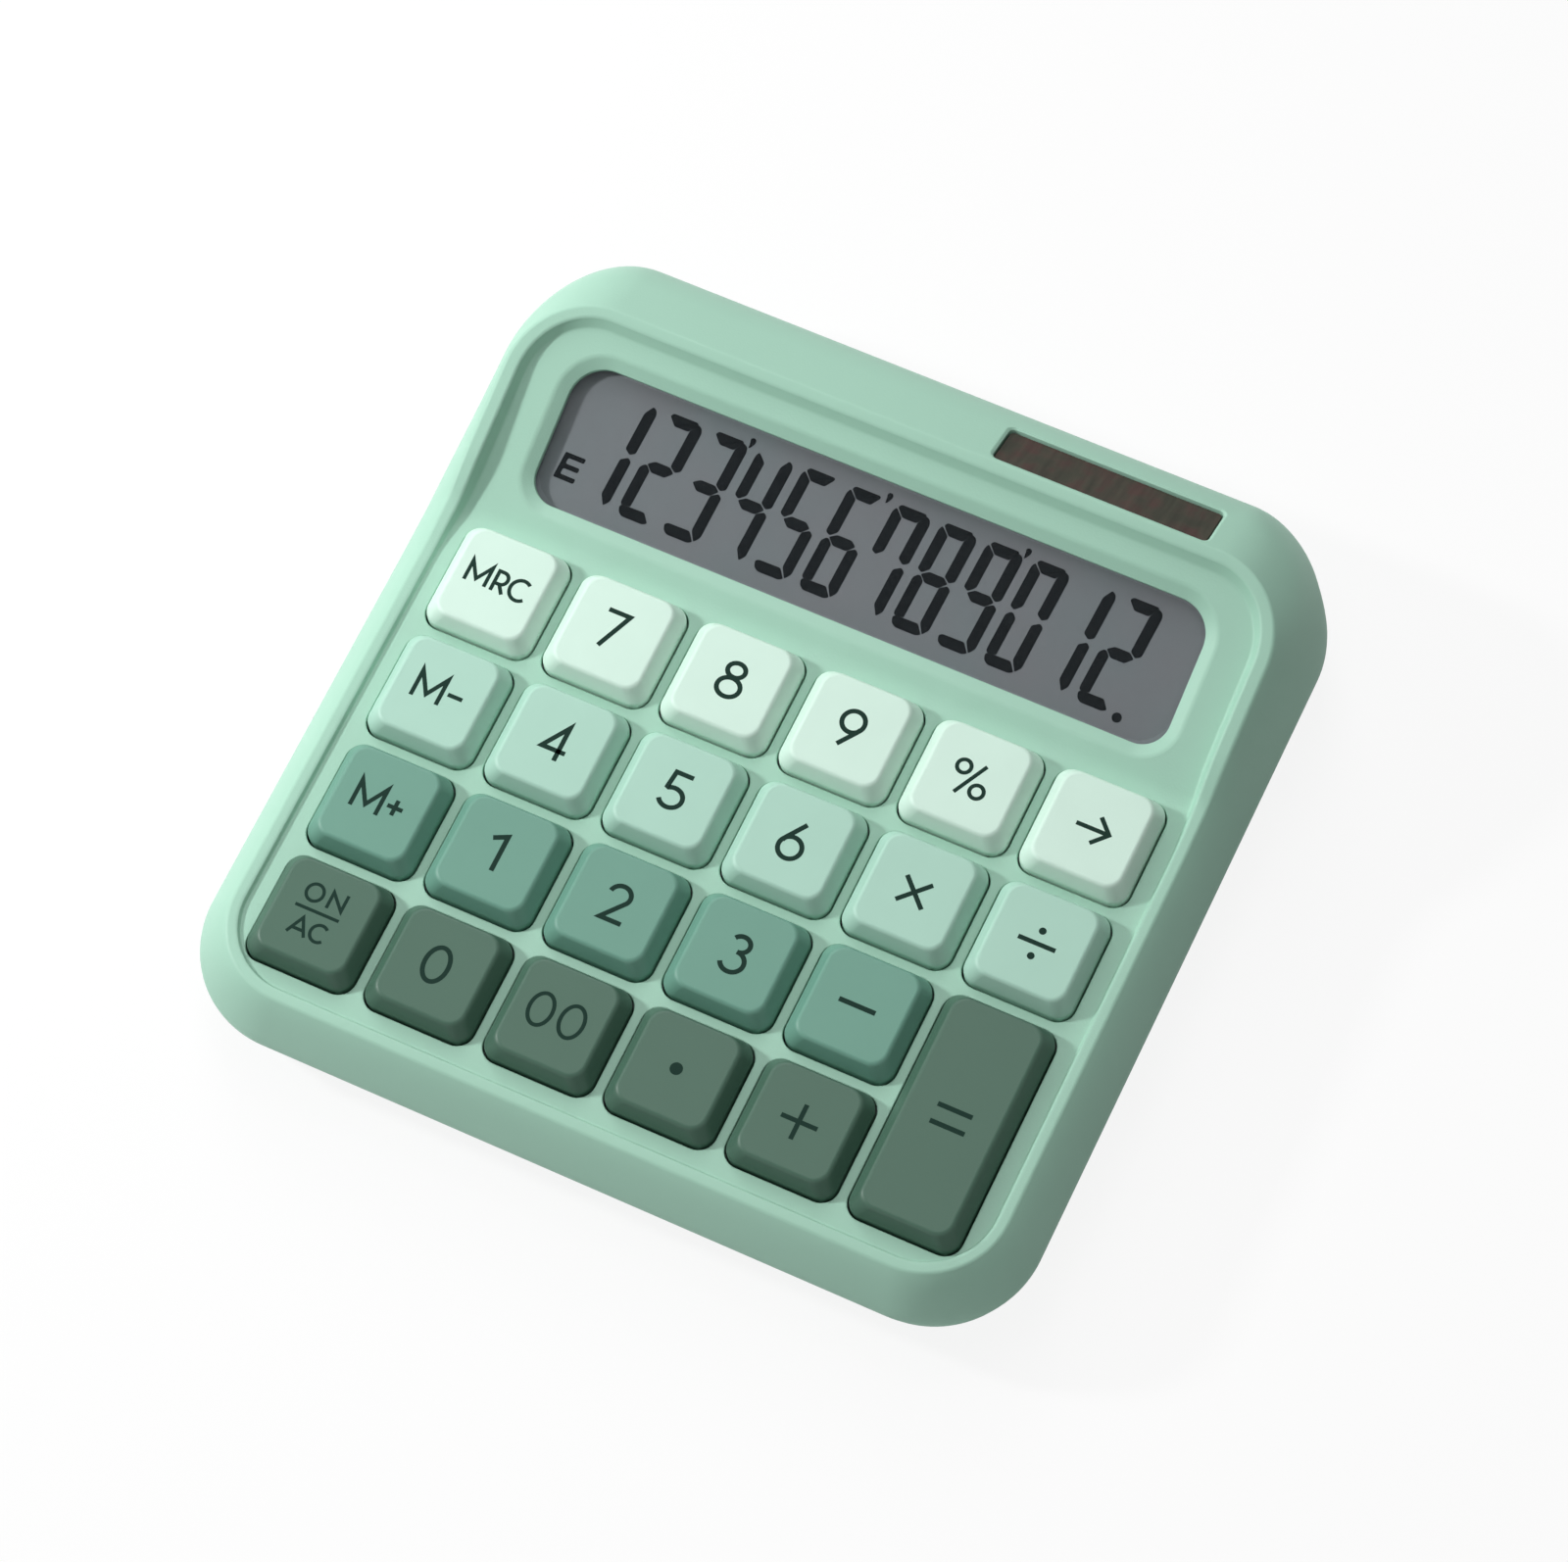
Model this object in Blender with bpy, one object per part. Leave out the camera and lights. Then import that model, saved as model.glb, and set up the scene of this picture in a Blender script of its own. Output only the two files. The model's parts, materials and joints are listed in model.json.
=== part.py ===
"""A twelve-digit desk calculator with sprung keycaps.

Metres, +Z up, +Y to the back. It stands on its feet at z = 0, centred on x = y = 0.
"""

from math import atan, cos, pi, radians, sin, sqrt, tan

import bmesh
import bpy
from mathutils import Matrix, Vector

mm = 0.001

# Key field: columns run left to right, rows run front to back
columns = 6
row_pitch = 20.0 * mm
side_margin = 19.35 * mm  # from the waist to the centres of the outer columns
front_margin = 18.55 * mm  # from the waist to the centres of the front row
key_space = 1.9 * mm  # between neighbouring keycaps
key_rows = (
    ("on_clear", "0", "double_zero", "point", "plus"),
    ("memory_plus", "1", "2", "3", "minus"),
    ("memory_minus", "4", "5", "6", "multiply", "divide"),
    ("memory_recall", "7", "8", "9", "percent", "delete"),
)
row_colours = ("466D59", "649685", "A8D0BF", "D5F1E2")
equals_rows = 2

# Body
body_width = 138.7 * mm
body_depth = 138.6 * mm
deck_height = 18.5 * mm
wall = 2.0 * mm
waist_drop = 8.5 * mm  # from the deck to where the outer wall is widest
parting_drop = 10.6 * mm  # from the deck to the top case's lower edge
parting_inset = 1.1 * mm
parting_thickness = 1.5 * mm  # of the top case at its lower edge
base_height = 1.0 * mm
base_inset = 8.0 * mm
floor_inset = 6.5 * mm
front_corner_radius = 17.4 * mm
back_corner_radius = 18.8 * mm
gap = 0.3 * mm  # between pieces that touch

# Rim around the deck
rim_height = 2.6 * mm  # at its highest, beside the display
key_rim_height = 0.8 * mm  # around the keys
rim_climb_start = -10.0 * mm  # from the bend, where the rim begins to climb
rim_climb_end = 8.0 * mm
rim_fall = 0.05  # how much the rim loses on the deck behind the climb
rim_wall_run = 1.0 * mm
rim_rounding = 0.8 * mm
rim_width = 3.3 * mm
crest_rounding = 1.0 * mm
crest_turn = radians(60.0)  # how far the crest's outer edge turns down at the front and sides
side_slope = 4.7 * mm
front_slope = 4.1 * mm
back_slope = 13.55 * mm
slope_bend = 1.2  # power of the fall down the front and side slopes: 1 is straight
deck_corner_radius = 10.5 * mm
crest_corner_radius = 14.0 * mm

# Display part, which rises behind the keys
panel_tilt = radians(18.5)
panel_start = 11.0 * mm  # behind the centres of the back row
bend_radius = 8.0 * mm
band_tilt = radians(26)
band_rounding = 12.0 * mm

# Keycaps
cap_hole_clearance = 0.25 * mm
cap_rise = 3.3 * mm
cap_inset_x = 1.75 * mm
cap_inset_y = 1.2 * mm
cap_lean = 0.3 * mm
cap_edge = 0.35 * mm
cap_skirt = 3.6 * mm
cap_wall = 1.3 * mm
cap_roof = 1.6 * mm
cap_corner_radius = 2.6 * mm
stem_radius = 2.7 * mm
stem_length = 7.9 * mm
key_travel = 3.0 * mm
guide_stem_radius = 1.5 * mm
guide_offset = 11.94 * mm

# Switches under the keycaps
switch_size = 14.0 * mm
switch_corner_radius = 0.8 * mm
switch_flange = 15.0 * mm
switch_flange_thickness = 1.0 * mm
switch_neck = 13.2 * mm
switch_crown = 11.2 * mm
switch_crown_drop = 3.9 * mm  # from the deck
stem_clearance = 0.4 * mm
bore_spare = 0.6 * mm  # left under a stem at full travel
plate_drop = 8.0 * mm
plate_thickness = 1.2 * mm
plate_margin = 10.0 * mm  # beyond the centres of the outer keys
board_drop = 12.0 * mm
board_thickness = 1.6 * mm
board_margin = 9.5 * mm
sheet_corner_radius = 6.0 * mm

# Frame that keeps the long keycap level
frame_thickness = 0.8 * mm
frame_corner_radius = 1.0 * mm
frame_rail = 1.25 * mm
tower_half_x = 3.5 * mm
tower_half_y = 2.6 * mm
tower_radius = 0.6 * mm
tower_root = 0.4 * mm
tower_drop = 4.5 * mm  # from the deck

# Posts that clamp the plate and the board between the cases
post_radius = 1.8 * mm
pin_radius = 2.2 * mm
boss_radius = 3.4 * mm
rear_post_side = 15.35 * mm  # from the side
rear_post_inset = 10.55 * mm  # from the back
rear_post_radius = 2.5 * mm
rear_post_cover = 0.8 * mm  # left between a rear post's end and the band's surface
rear_boss_height = 5.0 * mm
lip_thickness = 1.2 * mm
lip_height = 1.8 * mm

# Display
window_margin = 15.85 * mm  # from the sides to the window's ends
window_depth = 23.0 * mm
window_radius = 5.6 * mm
window_bevel = 2.0 * mm
window_bevel_drop = 1.0 * mm
lens_drop = 1.4 * mm
lens_thickness = 1.0 * mm
lcd_overlap = 2.5 * mm
lcd_thickness = 1.8 * mm

# Solar cell in the back band
cell_window_width = 35.8 * mm
cell_window_depth = 6.6 * mm
cell_window_margin = 21.25 * mm  # from the right side to the window's end
cell_window_radius = 1.0 * mm
cell_window_bevel = 0.6 * mm
cell_window_bevel_drop = 0.5 * mm
cell_drop = 1.1 * mm
cell_thickness = 1.6 * mm

# Battery
coin_radius = 10.0 * mm
coin_thickness = 3.2 * mm
coin_clearance = 0.5 * mm
coin_x = -22.0 * mm
coin_y = 40.0 * mm
coin_ring_wall = 2.0 * mm
coin_ring_height = 3.5 * mm
cover_radius = 13.0 * mm
cover_thickness = 1.2 * mm
cover_slot_length = 12.0 * mm
cover_slot_width = 2.2 * mm
cover_slot_depth = 0.7 * mm

# Feet
foot_radius = 6.0 * mm
foot_inset = 19.0 * mm

# Facets
corner_steps = 8
bend_steps = 4
climb_steps = 6
slope_steps = 6
edge_steps = 2
base_steps = 4
round_sides = 32

front = -body_depth / 2
back = body_depth / 2
crest_y = back - back_slope
back_turn = atan(tan(panel_tilt) - rim_fall + tan(band_tilt))
column_pitch = (body_width - 2 * side_margin) / (columns - 1)
cap_width = column_pitch - key_space
cap_depth = row_pitch - key_space
window_width = body_width - 2 * window_margin
cell_window_x = body_width / 2 - cell_window_margin - cell_window_width / 2
back_row_y = front + front_margin + (len(key_rows) - 1) * row_pitch
bend_y = back_row_y + panel_start
waist_z = deck_height - waist_drop
parting_z = deck_height - parting_drop
floor_z = base_height + wall


def clear_scene():
    for obj in list(bpy.data.objects):
        bpy.data.objects.remove(obj, do_unlink=True)


def linear(code):
    """An sRGB hex colour as linear red, green, blue and alpha."""
    shares = [int(code[i : i + 2], 16) / 255 for i in (0, 2, 4)]
    return [s / 12.92 if s <= 0.04045 else ((s + 0.055) / 1.055) ** 2.4 for s in shares] + [1.0]


def material(name, code, roughness=0.45, metallic=0.0, transmission=0.0):
    made = bpy.data.materials.new(name)
    made.use_nodes = True
    shader = made.node_tree.nodes["Principled BSDF"]
    shader.inputs["Base Color"].default_value = linear(code)
    shader.inputs["Roughness"].default_value = roughness
    shader.inputs["Metallic"].default_value = metallic
    shader.inputs["Transmission Weight"].default_value = transmission
    return made


def add_object(name, mesh, finish=None, location=(0, 0, 0), smooth=True):
    obj = bpy.data.objects.new(name, mesh)
    obj.location = location
    bpy.context.collection.objects.link(obj)
    if finish:
        mesh.materials.append(finish)
    if smooth:
        mesh.shade_smooth()
        mesh.set_sharp_from_angle(angle=radians(35))
    return obj


def add_cutter(name, mesh):
    cutter = add_object(name, mesh, smooth=False)
    cutter.hide_render = True
    cutter.display_type = "WIRE"
    return cutter


def combine(obj, operation, other):
    step = obj.modifiers.new(other.name, "BOOLEAN")
    step.operation = operation
    step.solver = "EXACT"
    step.object = other


def mesh_from(name, bm, place=None):
    bmesh.ops.recalc_face_normals(bm, faces=bm.faces)
    mesh = bpy.data.meshes.new(name)
    bm.to_mesh(mesh)
    bm.free()
    if place:
        mesh.transform(place)
    return mesh


def close_flat(bm, row):
    bm.faces.new(row)


def close_in_strips(bm, row):
    """Closes a bent ring with strips between its right and left sides."""
    half = len(row) // 2
    for i in range(half - 1):
        bm.faces.new((row[i], row[i + 1], row[-i - 2], row[-i - 1]))


def add_loft(bm, rings, close=close_flat):
    """Joins rings of points with the same count into one tube, closed at each end."""
    rows = [[bm.verts.new(point) for point in ring] for ring in rings]
    count = len(rows[0])
    for low, high in zip(rows, rows[1:]):
        for i in range(count):
            j = (i + 1) % count
            bm.faces.new((low[i], low[j], high[j], high[i]))
    close(bm, rows[0])
    close(bm, rows[-1])


def loft(name, *tubes, place=None):
    bm = bmesh.new()
    for rings in tubes:
        add_loft(bm, rings)
    return mesh_from(name, bm, place)


def rounded(half_x, half_y, radius, z, centre=(0, 0), steps=3):
    """A rounded rectangle of 4 * steps points."""
    points = []
    for k, (sx, sy) in enumerate(((1, 1), (-1, 1), (-1, -1), (1, -1))):
        for j in range(steps):
            angle = k * pi / 2 + j * pi / 2 / (steps - 1)
            x = centre[0] + sx * (half_x - radius) + radius * cos(angle)
            y = centre[1] + sy * (half_y - radius) + radius * sin(angle)
            points.append(Vector((x, y, z)))
    return points


def circle(radius, z, centre=(0, 0), count=12):
    """Points that pair with those of a rounded rectangle of the same count."""
    angles = [(j + 0.5) * 2 * pi / count for j in range(count)]
    return [Vector((centre[0] + radius * cos(a), centre[1] + radius * sin(a), z)) for a in angles]


def cylinder(radius, low, high, centre=(0, 0), count=12):
    return [circle(radius, low, centre, count), circle(radius, high, centre, count)]


def quarter(centre_x, centre_y, radius, start):
    angles = [start + i * pi / 2 / corner_steps for i in range(corner_steps + 1)]
    return [(centre_x + radius * cos(a), centre_y + radius * sin(a)) for a in angles]


def outline(half_width, low, high, low_radius, high_radius, stations=()):
    """A rounded outline: up the right side from front to back, then down the left side."""
    right = quarter(half_width - low_radius, low + low_radius, low_radius, -pi / 2)
    right += [(half_width, y) for y in stations]
    right += quarter(half_width - high_radius, high - high_radius, high_radius, 0)
    return right + [(-x, y) for x, y in reversed(right)]


def body_outline(inset, stations=()):
    """The waist's outline, moved inwards."""
    return outline(
        body_width / 2 - inset,
        front + inset,
        back - inset,
        front_corner_radius - inset,
        back_corner_radius - inset,
        stations,
    )


def body_ring(inset, z, stations=()):
    return [Vector((x, y, z)) for x, y in body_outline(inset, stations)]


def deck_z(y):
    """The deck's height: level under the keys, then bent up into the display panel."""
    start = bend_y - bend_radius * tan(panel_tilt / 2)
    end = start + bend_radius * sin(panel_tilt)
    if y <= start:
        return deck_height
    if y >= end:
        return deck_height + (y - bend_y) * tan(panel_tilt)
    return deck_height + bend_radius - sqrt(bend_radius**2 - (y - start) ** 2)


def side_stations():
    """Where the straight sides need points: through the deck's bend and the rim's climb."""
    start = bend_y - bend_radius * tan(panel_tilt / 2)
    bend = [start + bend_radius * sin(panel_tilt * i / bend_steps) for i in range(bend_steps + 1)]
    span = rim_climb_end - rim_climb_start
    climb = [bend_y + rim_climb_start + span * i / climb_steps for i in range(climb_steps + 1)]
    return sorted(bend + climb)


def rim_share(y):
    """The rim's height at y as a share of its greatest height."""
    t = (y - bend_y - rim_climb_start) / (rim_climb_end - rim_climb_start)
    t = min(max(t, 0), 1)
    low = key_rim_height / rim_height
    lost = rim_fall * max(y - bend_y - rim_climb_end, 0) / rim_height
    return low + (1 - low) * t * t * (3 - 2 * t) - lost


def rim_ring(share, rise):
    """A ring between the deck's edge, at share 0, and the outer edge of the rim's crest, at share 1."""
    inset = rim_width * (1 - share)
    half = body_width / 2 - side_slope - inset
    radius = deck_corner_radius + (crest_corner_radius - deck_corner_radius) * share
    low = front + front_slope + inset
    points = outline(half, low, crest_y - inset, radius, radius, side_stations())
    return [Vector((x, y, deck_z(y) + rise * (rim_share(y) if rise > 0 else 1))) for x, y in points]


def rim_rings():
    """From the deck's edge up the rim's inner wall to its crest."""
    rings = [rim_ring(0, 0)]
    shoulder = rim_height - rim_rounding
    run = rim_wall_run * shoulder / rim_height
    rings.append(rim_ring(run / rim_width, shoulder))
    for angle in (pi / 4, pi / 2):
        across = run + rim_rounding * (1 - cos(angle))
        rings.append(rim_ring(across / rim_width, shoulder + rim_rounding * sin(angle)))
    return rings


def back_shares(count):
    """How much each point of an outline follows the back's profile: 0 on the sides, 1 at the back."""
    half = count // 2
    corner = corner_steps + 1
    right = [0.0] * (half - corner)
    for j in range(corner):
        t = j / corner_steps
        right.append(t * t * (3 - 2 * t))
    return right + right[::-1]


def crest_rings():
    """Over the crest's outer edge, turned down furthest at the front and sides."""
    inner = rim_ring(1 - crest_rounding / rim_width, rim_height)
    outer = rim_ring(1, rim_height)
    rings = []
    for step in range(edge_steps + 1):
        ring = []
        for near, far, share in zip(inner, outer, back_shares(len(outer))):
            turn = (crest_turn * (1 - share) + back_turn * share) * step / edge_steps
            point = near.lerp(far, sin(turn))
            point.z -= crest_rounding * (1 - cos(turn))
            ring.append(point)
        rings.append(ring)
    return rings


def back_profile(width, drop):
    """From the crest down the flat band and round to the vertical back, as shares of width and drop."""
    arc_end = pi / 2 - band_tilt
    band_run = width - band_rounding * (1 - sin(band_tilt))
    band_fall = band_run * tan(band_tilt)
    points = [(0.0, 0.0), (band_run, band_fall)]
    for i in range(1, slope_steps - 1):
        angle = band_tilt + arc_end * i / (slope_steps - 2)
        run = band_run + band_rounding * (sin(angle) - sin(band_tilt))
        fall = band_fall + band_rounding * (cos(band_tilt) - cos(angle))
        points.append((run, fall))
    points.append((width, drop))
    return [(run / width, 1 - fall / drop) for run, fall in points]


def slope_rings(crest):
    """From the crest down to the waist: nearly straight at the front and sides, the band at the back."""
    waist = body_ring(0, waist_z, side_stations())
    width = back - max(point.y for point in crest)
    drop = max(point.z for point in crest) - waist_z
    rings = []
    for i, (back_run, back_height) in enumerate(back_profile(width, drop)):
        part = i / slope_steps
        ring = []
        for top, low, share in zip(crest, waist, back_shares(len(crest))):
            run = part * (1 - share) + back_run * share
            height = (1 - part**slope_bend) * (1 - share) + back_height * share
            point = top.lerp(low, run)
            point.z = low.z + (top.z - low.z) * height
            ring.append(point)
        rings.append(ring)
    return rings


def inside_of(rings):
    """Each ring moved inwards by the wall, square to the profile that runs through its points."""
    moved = []
    for i, ring in enumerate(rings):
        before = rings[max(i - 1, 0)]
        after = rings[min(i + 1, len(rings) - 1)]
        points = []
        for j, point in enumerate(ring):
            away = (rings[-1][j] - rings[0][j]) * Vector((1, 1, 0))
            across = away.normalized()
            tangent = after[j] - before[j]
            if i == 0 and tangent.z > -tangent.length / 2:
                tangent = away
            run = tangent.dot(across)
            out = (across * -tangent.z + Vector((0, 0, run))).normalized()
            points.append(point - out * wall)
        moved.append(points)
    return moved


def top_shell():
    crest = crest_rings()
    slope = slope_rings(crest[-1])
    parting = body_ring(parting_inset, parting_z, side_stations())
    inner_parting = body_ring(parting_inset + parting_thickness, parting_z, side_stations())
    under_deck = rim_ring(-gap / rim_width, -wall)
    outside = rim_rings() + crest[:-1] + slope
    bm = bmesh.new()
    inside = [inner_parting] + inside_of(slope)[::-1] + [under_deck]
    add_loft(bm, outside + [parting] + inside, close_in_strips)
    return mesh_from("top_case", bm)


def band_top():
    """Where the flat band begins, behind the crest: its y and z."""
    y = crest_y - crest_rounding * (1 - sin(back_turn))
    return y, deck_z(y) + rim_height * rim_share(y) - crest_rounding * (1 - cos(back_turn))


def band_z(y):
    """The flat back band's height."""
    top_y, top_z = band_top()
    return top_z - (y - top_y) * tan(band_tilt)


def panel_place():
    """The display panel's own frame: x across, y up the slope, z out of it, at the window's centre."""
    centre_y = (bend_y + crest_y - rim_width) / 2
    return Matrix.Translation((0, centre_y, deck_z(centre_y))) @ Matrix.Rotation(panel_tilt, 4, "X")


def band_place():
    """The back band's own frame, at the solar window's centre."""
    y = (band_top()[0] + back - band_rounding * (1 - sin(band_tilt))) / 2
    return Matrix.Translation((cell_window_x, y, band_z(y))) @ Matrix.Rotation(-band_tilt, 4, "X")


def window_cutter(name, width, depth, radius, bevel, bevel_drop, place):
    """A window's opening, flared towards the surface and on past it."""
    flare = bevel * (wall + bevel_drop) / bevel_drop
    rings = [
        rounded(width / 2, depth / 2, radius, -3 * wall, steps=6),
        rounded(width / 2, depth / 2, radius, -bevel_drop, steps=6),
        rounded(width / 2 + flare, depth / 2 + flare, radius + flare, wall, steps=6),
    ]
    return add_cutter(name, loft(name, rings, place=place))


def column_x(column):
    return (column - (columns - 1) / 2) * column_pitch


def row_y(row):
    return front + front_margin + row * row_pitch


def keys():
    """Each key's name, centre, length in rows and colour."""
    found = []
    for row, names in enumerate(key_rows):
        for column, name in enumerate(names):
            found.append((name, column_x(column), row_y(row), 1, row_colours[row]))
    middle = row_y((equals_rows - 1) / 2)
    found.append(("equals", column_x(columns - 1), middle, equals_rows, row_colours[0]))
    return found


def post_places():
    """Crossings of the gaps between keys, where a post passes between the keycaps."""
    middle_y = (row_y(0) + back_row_y) / 2
    sides = (-2 * column_pitch, 0, 2 * column_pitch)
    return [(x, middle_y + y) for x in sides for y in (-row_pitch, row_pitch)]


def rear_places():
    half = body_width / 2 - rear_post_side
    return [(x, back - rear_post_inset) for x in (-half, half)]


def make_top_case(finish):
    case = add_object("top_case", top_shell(), finish)
    plate_top = deck_height - plate_drop
    posts = [
        cylinder(post_radius, plate_top + gap, deck_height - wall / 2, place)
        for place in post_places()
    ]
    rear_top = band_z(back - rear_post_inset + rear_post_radius) - rear_post_cover
    boss_top = floor_z + rear_boss_height
    posts += [
        cylinder(rear_post_radius, boss_top + gap, rear_top, place) for place in rear_places()
    ]
    combine(case, "UNION", add_cutter("case_posts", loft("case_posts", *posts)))
    holes = []
    half_x = cap_width / 2 + cap_hole_clearance
    radius = cap_corner_radius + cap_hole_clearance
    low = deck_height - cap_skirt - key_travel - gap  # frees the post beside the long keycap
    high = deck_height + wall
    for _, x, y, length, _ in keys():
        half_y = cap_depth / 2 + cap_hole_clearance + (length - 1) * row_pitch / 2
        holes.append([rounded(half_x, half_y, radius, z, (x, y), steps=4) for z in (low, high)])
    combine(case, "DIFFERENCE", add_cutter("key_holes", loft("key_holes", *holes)))
    display = window_cutter(
        "display_window",
        window_width,
        window_depth,
        window_radius,
        window_bevel,
        window_bevel_drop,
        panel_place(),
    )
    combine(case, "DIFFERENCE", display)
    solar = window_cutter(
        "solar_window",
        cell_window_width,
        cell_window_depth,
        cell_window_radius,
        cell_window_bevel,
        cell_window_bevel_drop,
        band_place(),
    )
    combine(case, "DIFFERENCE", solar)


def bottom_shell():
    edge_z = parting_z - gap
    rings = []
    for i in range(base_steps, -1, -1):
        angle = i * pi / 2 / base_steps
        inset = parting_inset + (base_inset - parting_inset) * (1 - cos(angle))
        rings.append(body_ring(inset, edge_z - (edge_z - base_height) * sin(angle)))
    lip_inset = parting_inset + parting_thickness + gap
    lip_top = edge_z + lip_height
    rings.append(body_ring(lip_inset, edge_z))
    rings.append(body_ring(lip_inset, lip_top))
    rings.append(body_ring(lip_inset + lip_thickness, lip_top))
    rings.append(body_ring(lip_inset + lip_thickness, edge_z))
    rings.append(body_ring(floor_inset, floor_z))
    return loft("bottom_case", rings)


def make_bottom_case(finish):
    case = add_object("bottom_case", bottom_shell(), finish)
    board_under = deck_height - board_drop - board_thickness - gap
    plate_under = deck_height - plate_drop - plate_thickness - gap
    root = floor_z - wall / 2
    bosses = []
    for place in post_places():
        rings = [
            circle(boss_radius, root, place),
            circle(boss_radius, board_under, place),
            circle(pin_radius, board_under, place),
            circle(pin_radius, plate_under, place),
        ]
        bosses.append(rings)
    for place in rear_places():
        bosses.append(cylinder(boss_radius, root, floor_z + rear_boss_height, place))
    ring_radius = coin_radius + coin_clearance + coin_ring_wall
    coin = (coin_x, coin_y)
    bosses.append(cylinder(ring_radius, root, floor_z + coin_ring_height, coin, round_sides))
    combine(case, "UNION", add_cutter("case_bosses", loft("case_bosses", *bosses)))
    hole = coin_radius + coin_clearance
    cover_hole = cover_radius + gap
    ledge = base_height + cover_thickness + gap
    well = [
        circle(cover_hole, 0, coin, round_sides),
        circle(cover_hole, ledge, coin, round_sides),
        circle(hole, ledge, coin, round_sides),
        circle(hole, floor_z + 2 * coin_ring_height, coin, round_sides),
    ]
    combine(case, "DIFFERENCE", add_cutter("coin_well", loft("coin_well", well)))


def cap_rings(length):
    """A keycap's skin: flat top, outside, under the skirt, up to the roof and down the stem."""
    half_x = cap_width / 2
    half_y = cap_depth / 2 + (length - 1) * row_pitch / 2
    top_x = half_x - cap_inset_x
    top_y = half_y - cap_inset_y
    roof = cap_rise - cap_roof
    lean = (0, cap_lean)
    radius = cap_corner_radius
    inner_radius = radius - cap_wall
    return [
        rounded(top_x - cap_edge, top_y - cap_edge, radius - cap_edge, cap_rise, lean),
        rounded(top_x, top_y, radius, cap_rise - cap_edge, lean),
        rounded(half_x, half_y, radius, 0),
        rounded(half_x, half_y, radius, -cap_skirt),
        rounded(half_x - cap_wall, half_y - cap_wall, inner_radius, -cap_skirt),
        rounded(half_x - cap_wall, half_y - cap_wall, inner_radius, 0),
        rounded(top_x - cap_wall, top_y - cap_wall, inner_radius, roof, lean),
        circle(stem_radius, roof),
        circle(stem_radius, roof - stem_length),
    ]


def make_keycap(name, x, y, length, colour):
    finish = material(f"key_{name}", colour)
    mesh = loft(f"key_{name}", cap_rings(length))
    cap = add_object(f"key_{name}", mesh, finish, (x, y, deck_height))
    if length > 1:
        roof = cap_rise - cap_roof
        stems = [
            cylinder(guide_stem_radius, roof - stem_length, roof + cap_roof / 2, (0, side))
            for side in (-guide_offset, guide_offset)
        ]
        cutter = add_cutter("guide_stems", loft("guide_stems", *stems))
        cutter.location = cap.location
        combine(cap, "UNION", cutter)


def make_switch(name, x, y):
    """A switch housing: its body through the plate, its flange on the plate and a bore for the stem."""
    finish = material(f"switch_{name}", "3A3F42", 0.5)
    low = deck_height - board_drop + gap
    flange = deck_height - plate_drop + gap
    shoulder = flange + switch_flange_thickness
    crown = deck_height - switch_crown_drop
    bore = stem_radius + stem_clearance
    bore_end = deck_height + cap_rise - cap_roof - stem_length - key_travel - bore_spare
    outside = (
        (switch_size, low),
        (switch_size, flange),
        (switch_flange, flange),
        (switch_flange, shoulder),
        (switch_neck, shoulder),
        (switch_crown, crown),
    )
    rings = [rounded(size / 2, size / 2, switch_corner_radius, z, steps=2) for size, z in outside]
    rings += [circle(bore, z, count=8) for z in (crown, bore_end)]
    add_object(f"switch_{name}", loft(f"switch_{name}", rings), finish, (x, y, 0))


def make_stabiliser(x, y):
    """A C-shaped frame on the plate with two guide towers for the long keycap's outer stems."""
    finish = material("equals_stabiliser", "D8D4C8", 0.5)
    low = deck_height - plate_drop + gap
    top = low + frame_thickness
    tower_top = deck_height - tower_drop
    sides = (-guide_offset, guide_offset)
    room = switch_flange / 2 + gap
    rail_x = room + frame_rail
    half_x = (rail_x + tower_half_x) / 2
    half_y = guide_offset + 2 * tower_half_y
    centre = (rail_x - half_x, 0)
    frame = [
        rounded(half_x, half_y, frame_corner_radius, z, centre, steps=2) for z in (low, top)
    ]
    part = add_object("equals_stabiliser", loft("equals_stabiliser", frame), finish, (x, y, 0))
    towers = [
        [
            rounded(tower_half_x, tower_half_y, tower_radius, z, (0, side), steps=2)
            for z in (low + tower_root, tower_top)
        ]
        for side in sides
    ]
    below, above = low - wall, tower_top + wall
    holes = [[rounded(room, room, switch_corner_radius, z, steps=2) for z in (below, above)]]
    bore = guide_stem_radius + stem_clearance
    holes += [cylinder(bore, below, above, (0, side)) for side in sides]
    for name, tubes, operation in (
        ("guide_towers", towers, "UNION"),
        ("guide_bores", holes, "DIFFERENCE"),
    ):
        other = add_cutter(name, loft(name, *tubes))
        other.location = part.location
        combine(part, operation, other)


def key_field_sheet(name, margin, top, thickness, finish, holes):
    """A flat sheet under all the keys, with holes through it."""
    half_x = (columns - 1) / 2 * column_pitch + margin
    half_y = (len(key_rows) - 1) / 2 * row_pitch + margin
    centre = (0, (row_y(0) + back_row_y) / 2)
    rings = [
        rounded(half_x, half_y, sheet_corner_radius, z, centre, steps=4)
        for z in (top - thickness, top)
    ]
    sheet = add_object(name, loft(name, rings), finish)
    combine(sheet, "DIFFERENCE", add_cutter(f"{name}_holes", loft(f"{name}_holes", *holes)))


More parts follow.
